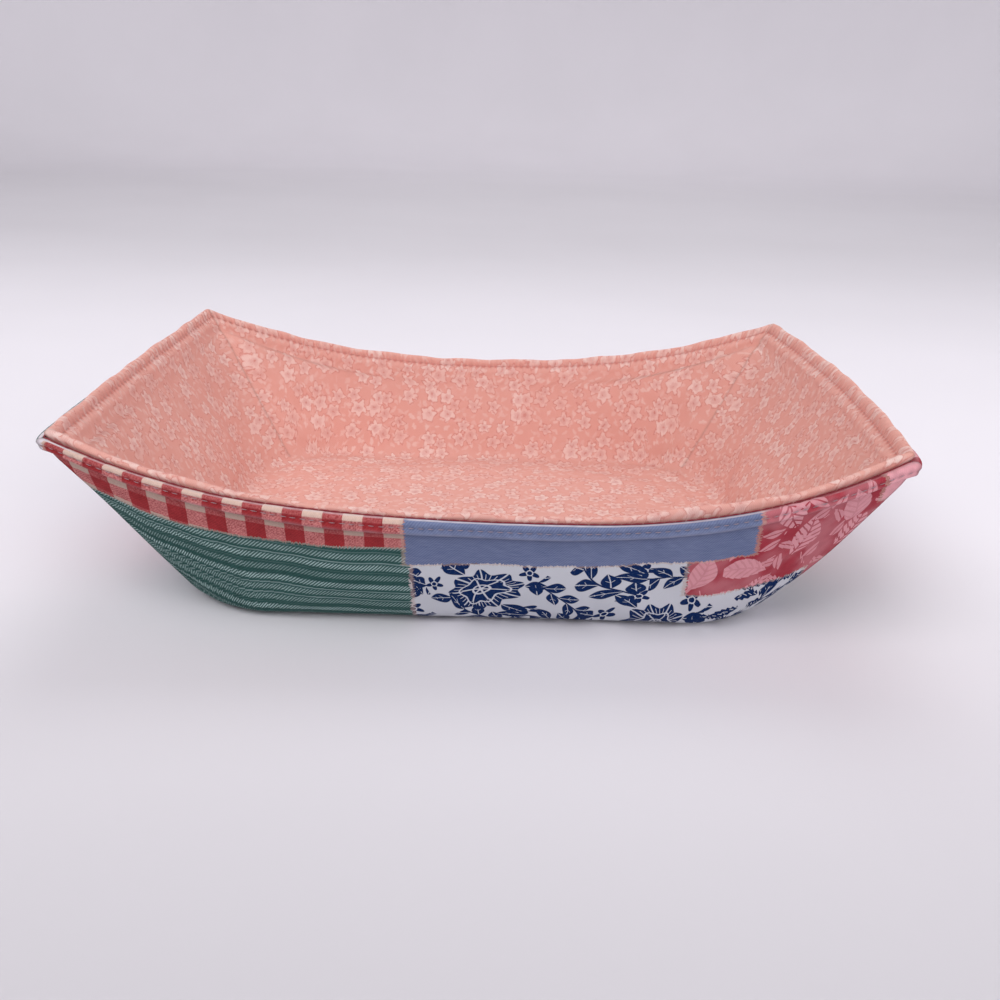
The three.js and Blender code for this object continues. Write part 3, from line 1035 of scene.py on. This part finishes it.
def chambray(finish, u, v, ink):
    """Plain blue twill: fine slanted lines of pale thread and slubs that run along the cloth."""
    twill = (u + v).wave(0.85) * 0.2
    slub = finish.drift(u * 0.25, v * 2.4, 3.0, 7.0) * 0.9
    faded = finish.drift(u * 0.08, v * 0.08, 2.0, 8.0) * 0.5
    pale = (0.38 + twill + slub + faded).least(1.0).most(0.0)
    return finish.mix(pale, ink.chambray_blue, ink.chambray_pale)


# Repeats of the sprig print along a row and from row to row, in millimetres, and the motifs in each: the
# places of a blossom and of little flowers, and the places and turns of leafy sprays
SPRIG_REPEAT = 50.0
SPRIG_ROW = 28.0
BLOSSOM_PLACE = (4.0, 6.0)
FLOWER_PLACES = ((17.0, 13.0), (40.0, 6.0), (36.0, 23.0), (20.0, 24.0))
SPRAY_PLACES = (((24.0, 1.0), 0.5), ((29.0, 14.0), 2.7), ((9.0, 21.0), 3.6))


def half_drop(u, v, place):
    """Distances from the nearest motif's middle, in rows that are each half a repeat along from the last."""
    across, up = place
    half = SPRIG_REPEAT / 2
    rows = v - up + SPRIG_ROW / 2
    x = (u - across + (rows / SPRIG_ROW).floor() * half + half).in_cell(SPRIG_REPEAT)
    return x, rows.in_cell(SPRIG_ROW)


def blue_sprigs(finish, u, v, ink):
    """Blossoms, leafy sprays and little flowers in half-drop rows, which a slow noise bends."""
    bend_u = finish.drift(u * 0.045, v * 0.045, 1.0, 9.0) * 12.0
    bend_v = finish.drift(u * 0.045, v * 0.045, 1.0, 10.0) * 12.0
    u, v = turned_by(u + bend_u, v + bend_v, 0.3)
    mask = blossom(*half_drop(u, v, BLOSSOM_PLACE))
    for place, turn in SPRAY_PLACES:
        mask = mask.most(leafy_spray(*turned_by(*half_drop(u, v, place), turn)))
    for place in FLOWER_PLACES:
        mask = mask.most(little_flower(*half_drop(u, v, place)))
    worn = 0.96 + 0.04 * finish.noise(u * 2.0, v * 2.0, 2.0, 11.0).over(0.4, 0.1)
    return finish.mix(mask * worn, ink.sprig_white, ink.sprig_cobalt)


def blossom(x, y):
    """A blossom: nine outer petals, six inner ones and an eye, parted by thin lines, and four leaves."""
    radius, angle = polar(x, y)
    inner_angle = angle + 0.3
    outer = (8.0 + (angle * 9).cos() - radius).over(0.0, 0.1)
    outer_gaps = petal_gaps(radius, angle, 9, 0.2, 0.08)
    strokes = petal_gaps(radius, angle, 36, 0.08, 0.05).most(radius.over(7.0, 0.1))
    ring_gap = (radius - 4.8 - (inner_angle * 6).cos() * 0.6).gap(0.24, 0.08)
    inner_gaps = petal_gaps(radius, inner_angle, 6, 0.2, 0.08)
    inside = (4.6 - radius).over(0.0, 0.05)
    eye_gap = (radius - 1.8).gap(0.24, 0.06)
    petals = outer * ring_gap * (inside * inner_gaps + (1 - inside) * outer_gaps * strokes) * eye_gap
    along, across = turned_by(abs(x), abs(y), 0.55)
    return petals.most(veined_leaf(along - 8.6, across, 8.5, 2.2))


def veined_leaf(along, across, length, width):
    """A leaf from 0 to its length, with a white midrib and slanted veins that stop short of its edge."""
    blade = leaf(along, across, length, width)
    inside = blade.over(0.0, 0.1) * along.within(length / 2, length / 2)
    midrib = across.gap(0.12, 0.07)
    veins = (along - abs(across)).in_cell(2.3).gap(0.1, 0.07)
    edge = 1 - blade.over(width * 0.5, 0.1)
    return inside * midrib * veins.most(edge)


def leafy_spray(x, y):
    """A curved stem with a leaf at its tip and leaves on both sides, one side half a step past the other."""
    reach = 10.0
    step = 7.0
    bent = y - x * x * 0.02
    stem = bent.line(0.32, 0.08) * x.within(0.0, reach + 0.5)
    side = bent.over(0.0, 0.001)
    from_foot = (x + 1.0 + side * (step / 2)).in_cell(step) + 2.6
    along, across = turned_by(from_foot, abs(bent), 0.75)
    side_leaves = veined_leaf(along, across, 7.6, 2.2) * x.within(0.0, reach)
    past_tip = x - reach
    tip = veined_leaf(past_tip, bent + past_tip * 0.1, 7.5, 2.2)
    return stem.most(side_leaves).most(tip)


def little_flower(x, y):
    """A small flower of five petals round an open eye."""
    radius, angle = polar(x, y)
    petals = (2.5 + (angle * 5).cos() * 0.9 - radius).over(0.0, 0.1)
    gaps = petal_gaps(radius, angle + np.pi / 5, 5, 0.12, 0.06)
    return petals * gaps.most((0.9 - radius).over(0.0, 0.05)) * (radius - 1.0).gap(0.18, 0.06)


def rose_leaves(finish, u, v, ink):
    """Pale leaves of two sizes turned every way on red, some filled, some ribbed, and curved stems."""
    x, y, chance, other = finish.scatter(u, v, 13.5, 0.75)
    along, across = turned_by(x, y, chance * TURN)
    curl = along * along
    bent = across + curl * 0.03
    body = leaf(along + 7.0, bent, 14.0, 3.7).over(0.0, 0.1) * along.within(0.0, 7.0)
    ribs = bent.gap(0.22, 0.08) * (along - abs(bent) * 0.8).in_cell(2.0).gap(0.28, 0.1)
    large = body * ribs.most(other.over(0.6, 0.01) * 0.8)
    stem = (across - curl * 0.05).line(0.2, 0.08) * abs(along).within(9.0, 3.0)
    x, y, chance, other = finish.scatter(u + 47.0, v + 19.0, 6.4, 0.8)
    along, across = turned_by(x, y, chance * TURN)
    blade = leaf(along + 3.2, across + along * along * 0.08, 6.4, 1.3)
    sprig = blade.over(0.0, 0.1) * along.within(0.0, 3.2)
    small = sprig * across.gap(0.14, 0.07) * other.over(0.35, 0.01)
    faded = finish.drift(u * 0.3, v * 0.3, 3.0, 13.0)
    ground = finish.shade(ink.rose_red, 1.0 + faded * 0.5 + (u + v).wave(0.8) * 0.05)
    blush = finish.noise(u * 0.09, v * 0.09, 2.0, 14.0).over(0.5, 0.12) * 0.35
    pale = (large.most(stem) * 0.95).most(small * 0.8).most(blush)
    return finish.mix(pale * (1.0 + faded * 0.5).least(1.0), ground, ink.rose_pale)


# Patches of the print on the flat cloth, in millimetres from the middle of the floor: lowest and highest u,
# then v. Later ones lie over earlier ones; the ground under all is the sprig print. They are cut a little
# askew, by SKEW for each millimetre from SKEW_START, up to SKEW_END.
EDGE = 200.0
SKEW = 0.045
SKEW_START = -71.5
SKEW_END = 10.0
FRINGE_U = 1.1
FRINGE_V = 0.6
PATCHES = (
    ("ticking", -EDGE, -18.2, -94.4, -34.0),
    ("gingham", -EDGE, -19.0, -EDGE, -94.4),
    ("rose", 58.0, EDGE, -EDGE, -75.6),
    ("chambray", -19.0, 75.0, -EDGE, -88.5),
    ("blush", 109.0, EDGE, -EDGE, -93.8),
    ("worn", -EDGE, -115.5, -EDGE, -106.0),
    ("rose", 92.0, EDGE, -75.6, -54.0),
    ("ticking", 96.0, EDGE, -54.0, -22.0),
    ("gingham", 88.0, EDGE, -22.0, 24.0),
    ("rose", 62.0, 122.0, 24.0, 64.0),
    ("chambray", 122.0, EDGE, 24.0, 88.0),
    ("ticking", 26.0, 110.0, 64.0, 95.0),
    ("gingham", 22.0, EDGE, 95.0, EDGE),
    ("chambray", -66.0, 22.0, 90.0, EDGE),
    ("rose", -EDGE, -66.0, 71.0, EDGE),
    ("rose", -EDGE, -104.0, -36.0, 12.0),
    ("chambray", -EDGE, -98.0, 12.0, 50.0),
    ("gingham", -64.0, 8.0, -32.0, 12.0),
    ("rose", 8.0, 60.0, -13.0, 31.0),
    ("chambray", -98.0, -40.0, 10.0, 48.0),
)


def patchwork(finish, u, v, tucked, ink):
    """The printed cloth: each patch is a rectangle whose edges fray into short pale threads."""
    fray_u = finish.drift(u * 0.3, v * 2.6, 2.0, 20.0) * 2.8
    fray_v = finish.drift(u * 2.6, v * 0.3, 2.0, 21.0) * 1.8
    cut_u = u + fray_u
    cut_v = v + fray_v + (u.least(SKEW_END) - SKEW_START) * SKEW
    faded = finish.noise(u * 0.5, v * 0.5, 2.0, 23.0)
    cottons = {
        "gingham": gingham(finish, u, v, tucked, ink),
        "ticking": ticking(finish, u, v, ink),
        "chambray": chambray(finish, u, v, ink),
        "rose": rose_leaves(finish, u, v, ink),
        "blush": finish.shade(ink.rose_pale, 0.85 + 0.4 * faded),
        "worn": finish.shade(ink.fold_pale, 0.8 + 0.3 * faded),
    }
    colour = blue_sprigs(finish, u, v, ink)
    loose = 0.2 + 0.55 * finish.noise(u * 2.6, v * 2.6, 1.0, 22.0)
    for cotton, low_u, high_u, low_v, high_v in PATCHES:
        middle_u, half_u = (low_u + high_u) / 2, (high_u - low_u) / 2
        middle_v, half_v = (low_v + high_v) / 2, (high_v - low_v) / 2
        patch = cut_u.within(middle_u, half_u) * cut_v.within(middle_v, half_v)
        fringe = cut_u.within(middle_u, half_u + FRINGE_U) * cut_v.within(middle_v, half_v + FRINGE_V)
        colour = finish.mix(fringe * loose, colour, ink.gingham_cream)
        colour = finish.mix(patch, colour, cottons[cotton])
    return colour


def weave(u, v):
    """Height of a plain weave: threads a little over half a millimetre apart that pass over and under."""
    spacing = 0.56
    return u.wave(spacing) * v.wave(spacing)


def stitch_dimples(around, way, pitch, pucker):
    """Height along the topstitching: a soft groove with a hole between stitches, and puckers across it."""
    off = way - TOPSTITCH_WAY
    wave = (around * (TURN / pitch)).cos()
    hole = (wave * 0.5 + 0.5) ** 3.0
    return off.bell(0.16) * wave * -pucker - off.bell(1.4) * (0.08 + 0.16 * hole)


def stitch_shadow(around, way, pitch):
    """Shade in the stitched groove, deepest in the hole between two stitches."""
    hole = (around * (TURN / pitch)).cos() * 0.5 + 0.5
    return (way - TOPSTITCH_WAY - hole * 0.25).bell(5.0) * (0.3 + 0.7 * hole)


def drag_wrinkles(finish, u, v, way, seed):
    """Height of slanted wrinkles below the hem, where the stitching pulls the cloth askew."""
    below = way - HEM_EDGE_WAY - 2.0
    return finish.drift((u + v) * 0.06, (u - v) * 0.3, 1.0, seed + 2.0) * below.bell(0.03) * 0.7


def dart_line_of(finish):
    """1 on a dart seam, falling off as a bell within half a millimetre."""
    return finish.node("ShaderNodeAttribute", {"attribute_name": "dart_distance"}, None, "Fac").bell(3.0)


def finish_cotton(finish, colour, around, way, stitch, seam, pucker, seed):
    """What both cottons share: painted light and shade on the weave's threads, painted shade along the dart
    seams, and weave, slubs and stitches in relief.
    """
    u, v = finish.place("flat_pattern")
    cloth = weave(u, v)
    slub = finish.noise(u * 0.5, v * 0.5, 3.0, seed)
    dart = dart_line_of(finish)
    # The base colour carries painted light and shade on the weave's threads and painted shade along the dart
    # seams.
    finish.feed("Base Color", finish.shade(colour, 0.97 + cloth * 0.04 - dart * seam))
    finish.feed("Roughness", 0.8 + slub * 0.15)
    height = cloth * 0.05 + slub * 0.12 - dart * 0.2 + drag_wrinkles(finish, u, v, way, seed)
    finish.relief(height + stitch_dimples(around, way, stitch, pucker), MM)


def cover_finish(ink, stitch):
    """Printed patchwork. Along the fold at the rim it is worn pale and carries a painted highlight, more on
    some patches than on others. A painted highlight runs along the ridge of the hem, with painted shade in
    the crease under it and in the stitched groove.
    """
    finish = Finish("patchwork_cotton", COTTON)
    u, v = finish.place("flat_pattern")
    around, way = finish.place("hem_line")
    # The top of the fold is mixed towards the worn-fold colour: partly worn cloth, partly a painted
    # highlight; these weights set how much along the rim.
    fold_wear_and_highlight = 0.8 - 0.8 * u.over(-109.0, 3.0) + 0.3 * u.over(-18.0, 1.0) - 0.55 * u.over(77.0, 2.0)
    worn = fold_wear_and_highlight + 0.75 * finish.noise(around * 0.4, way, 2.0, 30.0)
    worn_and_highlit_fold = (way + 0.1).line(0.5, 0.25) * worn.most(0.1).least(1.0)
    # A painted highlight runs along the ridge of the hem, broken up along the rim and mixed towards the
    # worn-fold colour.
    broken = finish.noise(around * 0.15, 0.0, 3.0, 32.0).over(0.5, 0.3)
    ridge = (way - RIDGE_WAY).line(0.6, 0.9) * broken
    tucked = 1.0 - way.over(RIDGE_WAY, 0.15)
    # Painted shade in the crease under the hem's edge and in the stitched groove darkens the print.
    crease = (way - HEM_EDGE_WAY - 0.8).line(0.7, 0.9)
    shade = 1.0 - 0.2 * crease - 0.22 * stitch_shadow(around, way, stitch)
    cloth = finish.shade(patchwork(finish, u, v, tucked, ink), shade)
    colour = finish.mix(worn_and_highlit_fold.most(ridge * 0.35), cloth, ink.fold_pale)
    finish_cotton(finish, colour, around, way, stitch, seam=0.35, pucker=0.09, seed=31.0)
    return finish.material


def lining_finish(ink, stitch):
    """Coral calico: soft pale blossoms of five petals with fine deep outlines, and pale dabs between them,
    and painted shade in the stitched groove.
    """
    finish = Finish("coral_calico", COTTON)
    u, v = finish.place("flat_pattern")
    around, way = finish.place("hem_line")
    bent_u = u + finish.drift(u * 0.45, v * 0.45, 2.0, 42.0) * 3.0
    bent_v = v + finish.drift(u * 0.45, v * 0.45, 2.0, 43.0) * 3.0
    x, y, chance, other = finish.scatter(bent_u, bent_v, 7.4, 0.85)
    radius, angle = polar(x, y)
    angle = angle + chance * TURN
    reach = 2.3 + other * 0.9 + (angle * 5).cos() * 0.6 - radius
    petals = reach.over(0.3, 0.7) * (0.4 + 0.5 * chance)
    outline = (reach - 0.1).line(0.2, 0.15) * 0.6
    strokes = petal_gaps(radius, angle, 20, 0.1, 0.1)
    eye = (0.5 - radius).over(0.0, 0.2).most((1.6 - radius).over(0.0, 0.3) * (1 - strokes) * 0.6)
    x, y, chance, other = finish.scatter(bent_u + 31.0, bent_v + 17.0, 3.4, 0.9)
    along, across = turned_by(x, y, chance * TURN)
    spot = leaf(along + 1.7, across, 3.4, 0.75).over(0.1, 0.3) * along.within(0.0, 1.7)
    dab = spot * (0.15 + 0.45 * other)
    mottle = finish.noise(u * 0.3, v * 0.3, 3.0, 40.0)
    pale = (petals.most(dab) + (mottle - 0.5) * 0.5).most(0.0)
    colour = finish.mix(pale, ink.calico_coral, ink.calico_pale)
    # Painted shade in the stitched groove is mixed in with the deep colour of the print's fine lines.
    deep = (outline.most(eye * 0.7) * (0.4 + mottle)).most(stitch_shadow(around, way, stitch) * 0.8)
    colour = finish.mix(deep, colour, ink.calico_deep)
    finish_cotton(finish, colour, around, way, stitch, seam=0.15, pucker=0.16, seed=41.0)
    return finish.material


def batting_finish(ink):
    """Needled cotton: soft lumps, fine fibres and flecks."""
    finish = Finish("cotton_wadding", {"Roughness": 0.95, "Specular IOR Level": 0.1, "Sheen Weight": 0.2})
    x, y, _ = finish.object_place()
    x, y = x / MM, y / MM
    lumps = finish.noise(x * 0.12, y * 0.12, 4.0, 50.0)
    fibres = finish.noise(x * 1.5, y * 0.8, 5.0, 51.0)
    finish.feed("Base Color", finish.shade(ink.batting_white, 0.85 + 0.2 * lumps + 0.08 * fibres))
    finish.relief(lumps * 0.6 + fibres * 0.3, MM)
    return finish.material


def thread_finish(name, colour):
    """Twisted thread: slanted turns of the yarn, painted lighter on their backs as a painted highlight."""
    finish = Finish(name, {"Roughness": 0.7, "Specular IOR Level": 0.3, "Sheen Weight": 0.2})
    x, y, z = finish.object_place()
    twist = (x + y + z * 1.7).wave(0.45 * MM)
    # The colour is painted lighter on the backs of the turns: a painted highlight.
    finish.feed("Base Color", finish.shade(colour, 0.9 + twist * 0.1))
    finish.relief(twist * 0.06, MM)
    return finish.material


def cover_cloth(sizes, plies):
    return Cloth(sizes, plies, plies.cover_wall[0], plies.cover_rim[0], plies.cover_turned[1], 0.0)


def lining_cloth(sizes, plies):
    room = 2 * plies.dart_room
    cloth = Cloth(sizes, plies, plies.lining_wall[1], plies.lining_rim[1], plies.lining_turned[0], room)
    cloth.depth = cloth.depth - lining_lean(cloth)
    return cloth


class COZY_OT_cover(CozyPiece, bpy.types.Operator):
    """Sew the printed cover: floor, four darted walls and the hem over the rim"""

    bl_idname = "cozy.cover"
    bl_label = "Printed cover"

    def execute(self, context):
        sizes = context.scene.cozy_sizes
        cloth = cover_cloth(sizes, Plies(sizes))
        softness = Softness(growth=0.004, pressure=0.3, bending=0.4, outward=1.8 * MM, inward=0.3 * MM,
                            floor_held=True)
        piece = make_cloth("printed_cover", cloth, False, cover_relief(cloth), cover_rise(cloth), softness)
        thicken(piece, sizes.cloth)
        finish = cover_finish(context.scene.cozy_colours, sizes.stitch / MM)
        self.settle(piece, finish, "patchwork_cotton", "patchwork_cover")
        return {"FINISHED"}


class COZY_OT_lining(CozyPiece, bpy.types.Operator):
    """Sew the calico lining inside the pocket, with its edge turned in at the rim"""

    bl_idname = "cozy.lining"
    bl_label = "Calico lining"

    def execute(self, context):
        sizes = context.scene.cozy_sizes
        cloth = lining_cloth(sizes, Plies(sizes))
        softness = Softness(growth=0.006, pressure=0.5, bending=0.2, outward=0.25 * MM, inward=2.2 * MM,
                            floor_held=False)
        piece = make_cloth("coral_lining", cloth, True, lining_relief(cloth), lining_rise(cloth), softness)
        thicken(piece, sizes.cloth)
        finish = lining_finish(context.scene.cozy_colours, sizes.stitch / MM)
        self.settle(piece, finish, "calico_cotton", "calico_lining")
        return {"FINISHED"}


class COZY_OT_battings(CozyPiece, bpy.types.Operator):
    """Cut the two battings that lie between cover and lining"""

    bl_idname = "cozy.battings"
    bl_label = "Battings"

    def execute(self, context):
        sizes = context.scene.cozy_sizes
        plies = Plies(sizes)
        finish = batting_finish(context.scene.cozy_colours)
        layers = (
            ("cover_wadding", "cover_batting", plies.cover_batting_wall, plies.cover_batting_rim),
            ("lining_wadding", "lining_batting", plies.lining_batting_wall, plies.lining_batting_rim),
        )
        for name, node, wall, rim in layers:
            piece = batting_piece(name, sizes, plies, wall, rim)
            self.settle(piece, finish, "cotton_batting", node)
        return {"FINISHED"}


def batting_piece(name, sizes, plies, wall, rim):
    """A closed ply: an outer and an inner face of wall rows, joined at the top, each with its own floor.

    It is squeezed towards its middle where the cloth is drawn in under the hem.
    """
    side, share, _ = round_the_wall()
    top = plies.fold + sizes.ply_gap
    rim_drops = np.array([plies.seam_end, (plies.seam_end + top) / 2, top])[:, None] * np.ones(COLUMNS)
    row_count = WALL_ROWS + rim_drops.shape[0]
    in_wall = np.arange(row_count)[:, None] < WALL_ROWS
    climbed = np.linspace(0, 1, WALL_ROWS + 1)[1:, None]
    middle = sum(wall) / 2
    shells = []
    for wall_depth, rim_depth in zip(wall, rim):
        length = wall_length(sizes, side, share, wall_depth, plies.dart_room)
        wall_drop = length * (1 - climbed) + plies.thin_drop * climbed
        drop = np.concatenate([wall_drop, rim_drops])
        squeezed = 0.85 * bump(drop / MM, HEM_EDGE_WAY + 1.5, 3.0)
        depth = np.where(in_wall, wall_depth + (middle - wall_depth) * squeezed, rim_depth)
        room = np.where(in_wall, plies.dart_room, 0.0)
        edge = wall_points(sizes, side, share, wall_depth, np.inf, plies.dart_room)
        points = wall_points(sizes, side[None], share[None], depth, drop, room)
        shells.append(np.concatenate([floor_patch(edge).reshape(-1, 3), points.reshape(-1, 3)]))
    outer, _, rings = pocket_faces(row_count, False)
    inner, _, _ = pocket_faces(row_count, True)
    shift = shells[0].shape[0]
    top_ring = rings[-1]
    ahead = np.roll(top_ring, -1)
    lid = np.stack([top_ring, ahead, ahead + shift, top_ring + shift], axis=-1)
    return new_mesh(name, np.concatenate(shells), outer, inner + shift, lid)


class COZY_OT_rim_stitching(CozyPiece, bpy.types.Operator):
    """Stitch the seam between cover and lining and the topstitching round the rim"""

    bl_idname = "cozy.rim_stitching"
    bl_label = "Rim stitching"

    def execute(self, context):
        sizes = context.scene.cozy_sizes
        ink = context.scene.cozy_colours
        cover = bpy.data.objects["printed_cover"]
        lining = bpy.data.objects["coral_lining"]
        pale = thread_finish("pale_thread", ink.thread_pale)
        coral = thread_finish("coral_thread", ink.thread_coral)
        red = thread_finish("seam_thread", ink.thread_red)
        thin = 0.6 * sizes.thread
        faces = (
            ("topstitch_upper", "topstitch_needle_thread", cover, pale, 61),
            ("topstitch_under", "topstitch_bobbin_thread", lining, coral, 62),
        )
        for name, node, cloth, finish, seed in faces:
            path, normals = ring_of(cloth, STITCH_ROW)
            row = stitch_row(path, normals, sizes.stitch, thin, lift=0.2 * thin, dip=1.6 * thin, seed=seed)
            self.settle(new_mesh(name, *row), finish, "sewing_thread", node)
        groove, _ = ring_of(cover, SEAM_ROW)
        up = np.tile([0.0, 0.0, 1.0], (COLUMNS, 1))
        thick = 1.15 * sizes.thread
        row = stitch_row(groove, up, 1.1 * sizes.stitch, thick, lift=1.2 * thick, dip=0.3 * thick, seed=63,
                         fill=0.53)
        self.settle(new_mesh("rim_seam", *row), red, "seam_thread", "rim_seam_thread")
        return {"FINISHED"}


class COZY_OT_dart_stitching(CozyPiece, bpy.types.Operator):
    """Stitch the darts that close the corners of cover and lining"""

    bl_idname = "cozy.dart_stitching"
    bl_label = "Dart stitching"

    def execute(self, context):
        sizes = context.scene.cozy_sizes
        plies = Plies(sizes)
        pale = bpy.data.materials["pale_thread"]
        inset = (sizes.ply_gap + sizes.thread) * np.sqrt(0.5)
        seams = (
            ("cover", plies.cover_wall[1] + inset, 0.0, 1.0),
            ("lining", plies.lining_wall[0] - inset, 2 * plies.dart_room, -1.0),
        )
        for cloth, depth, room, hand in seams:
            for number, corner in enumerate(CORNER_NAMES):
                path, normals = dart_line(sizes, plies, number, depth, room)
                row = stitch_row(path, hand * normals, sizes.stitch, sizes.thread, lift=0.0,
                                 dip=0.5 * sizes.thread, seed=70 + number, closed=False)
                piece = new_mesh(f"{cloth}_dart_{corner}", *row)
                self.settle(piece, pale, "sewing_thread", f"{cloth}_dart_thread_{corner}")
        return {"FINISHED"}


def dart_line(sizes, plies, number, depth, room):
    """Points up one corner of a face, from the top of the bend to where the hem begins."""
    side = np.full(DART_POINTS, number)
    share = np.full(DART_POINTS, -1.0)
    _, _, _, _, straight = wall_profile(sizes, side[:1], share[:1], depth, room)
    drop = np.linspace(straight[0], plies.thin_drop, DART_POINTS)
    path = wall_points(sizes, side, share, depth, drop, room)
    return path, unit(path * np.array([1.0, 1.0, 0.0]))


# Lamps of the stage: place, size in metres and power in watts
LAMPS = {
    "key": ((-0.7, -0.9, 1.5), 1.3, 15.0),
    "fill": ((0.9, -1.1, 0.8), 1.2, 8.0),
    "back": ((0.2, 1.1, 1.5), 1.2, 8.0),
}
LAMP_AIM = Vector((0.0, 0.0, 0.03))
ROOM_LIGHT = 0.55
SENSOR_WIDTH = 36.0


class COZY_OT_stage(bpy.types.Operator):
    """Set up the floor, the light and the camera"""

    bl_idname = "cozy.stage"
    bl_label = "Stage"

    def execute(self, context):
        scene = context.scene
        look = scene.cozy_stage
        scene.view_settings.view_transform = "Standard"
        sweep = sweep_floor()
        sweep.data.materials.append(sweep_finish(look))
        for name, (place, size, power) in LAMPS.items():
            lamp = bpy.data.lights.new(name, "AREA")
            lamp.shape = "DISK"
            lamp.size = size
            lamp.energy = power
            holder = bpy.data.objects.new(name, lamp)
            holder.location = place
            holder.rotation_euler = (LAMP_AIM - Vector(place)).to_track_quat("-Z", "Y").to_euler()
            scene.collection.objects.link(holder)
        world = bpy.data.worlds.new("soft_room")
        world.use_nodes = True
        background = world.node_tree.nodes["Background"]
        background.inputs["Color"].default_value = (*look.floor, 1.0)
        background.inputs["Strength"].default_value = ROOM_LIGHT
        scene.world = world
        lens = bpy.data.cameras.new("camera")
        lens.sensor_width = SENSOR_WIDTH
        lens.lens = look.lens
        camera = bpy.data.objects.new("camera", lens)
        pitch = Matrix.Rotation(np.pi / 2 - look.camera_pitch, 4, "X")
        roll = Matrix.Rotation(look.camera_roll, 4, "Z")
        camera.matrix_world = Matrix.Translation(look.camera_place) @ pitch @ roll
        scene.collection.objects.link(camera)
        scene.camera = camera
        return {"FINISHED"}


def sweep_finish(look):
    """Pale paper with a faint grain, and painted light on it: painted shade near the camera, a painted pool
    of light round the cozy and painted shade behind it.
    """
    finish = Finish("pale_sweep", {"Roughness": 0.9, "Specular IOR Level": 0.1})
    x, y, _ = finish.object_place()
    grain = 0.96 + 0.06 * finish.noise(x * 6.0, y * 6.0, 2.0, 80.0)
    # Painted light and shade on the floor: darker near the camera, lighter round the cozy, darker behind it.
    far = 0.75 + 0.38 * y.over(-0.12, 0.14) - 0.27 * y.over(0.45, 0.3) + 0.2 * y.over(1.5, 0.4)
    finish.feed("Base Color", finish.shade(look.floor, grain * far))
    return finish.material


def sweep_floor():
    """A round sweep: a disc, a quarter circle up from its edge and an upright wall, turned about its axis."""
    hole, flat, cove, height = 0.02, 1.6, 0.6, 2.2
    flat_rings, cove_rings, segments = 12, 15, 96
    turn = np.linspace(0, np.pi / 2, cove_rings + 1)[1:]
    disc = np.linspace(hole, flat, flat_rings)
    radius = np.concatenate([disc, flat + cove * np.sin(turn), [flat + cove]])
    rise = np.concatenate([np.zeros(flat_rings), cove * (1 - np.cos(turn)), [height]])
    angle = np.linspace(0, TURN, segments, endpoint=False)
    x = radius[:, None] * np.cos(angle)
    y = radius[:, None] * np.sin(angle)
    points = np.stack([x, y, rise[:, None] + 0 * x], axis=-1)
    ids = np.arange(radius.size * segments).reshape(radius.size, segments)
    ahead = np.roll(ids, -1, axis=1)
    faces = np.stack([ids[:-1], ids[1:], ahead[1:], ahead[:-1]], axis=-1).reshape(-1, 4)
    return new_mesh("pale_floor", points, faces, ids[:1])


class COZY_PT_panel(bpy.types.Panel):
    """Lists the steps of the cozy and its sizes and colours."""

    bl_idname = "COZY_PT_panel"
    bl_label = "Bowl cozy"
    bl_space_type = "VIEW_3D"
    bl_region_type = "UI"
    bl_category = "Cozy"

    def draw(self, context):
        for step in STEPS:
            self.layout.operator(step.bl_idname)
        for group in (context.scene.cozy_sizes, context.scene.cozy_colours, context.scene.cozy_stage):
            box = self.layout.box()
            for name in group.__annotations__:
                box.prop(group, name)


GROUPS = {"cozy_sizes": CozySizes, "cozy_colours": CozyColours, "cozy_stage": StageLook}
STEPS = (COZY_OT_stage, COZY_OT_cover, COZY_OT_lining, COZY_OT_battings, COZY_OT_rim_stitching,
         COZY_OT_dart_stitching)
CLASSES = (*GROUPS.values(), *STEPS, COZY_PT_panel)


def register():
    for item in CLASSES:
        bpy.utils.register_class(item)
    for name, group in GROUPS.items():
        setattr(bpy.types.Scene, name, bpy.props.PointerProperty(type=group))


def unregister():
    for name in GROUPS:
        delattr(bpy.types.Scene, name)
    for item in reversed(CLASSES):
        bpy.utils.unregister_class(item)


def main():
    register()
    bpy.ops.cozy.stage()
    bpy.ops.cozy.cover()
    bpy.ops.cozy.lining()
    bpy.ops.cozy.battings()
    bpy.ops.cozy.rim_stitching()
    bpy.ops.cozy.dart_stitching()


if __name__ == "__main__":
    main()
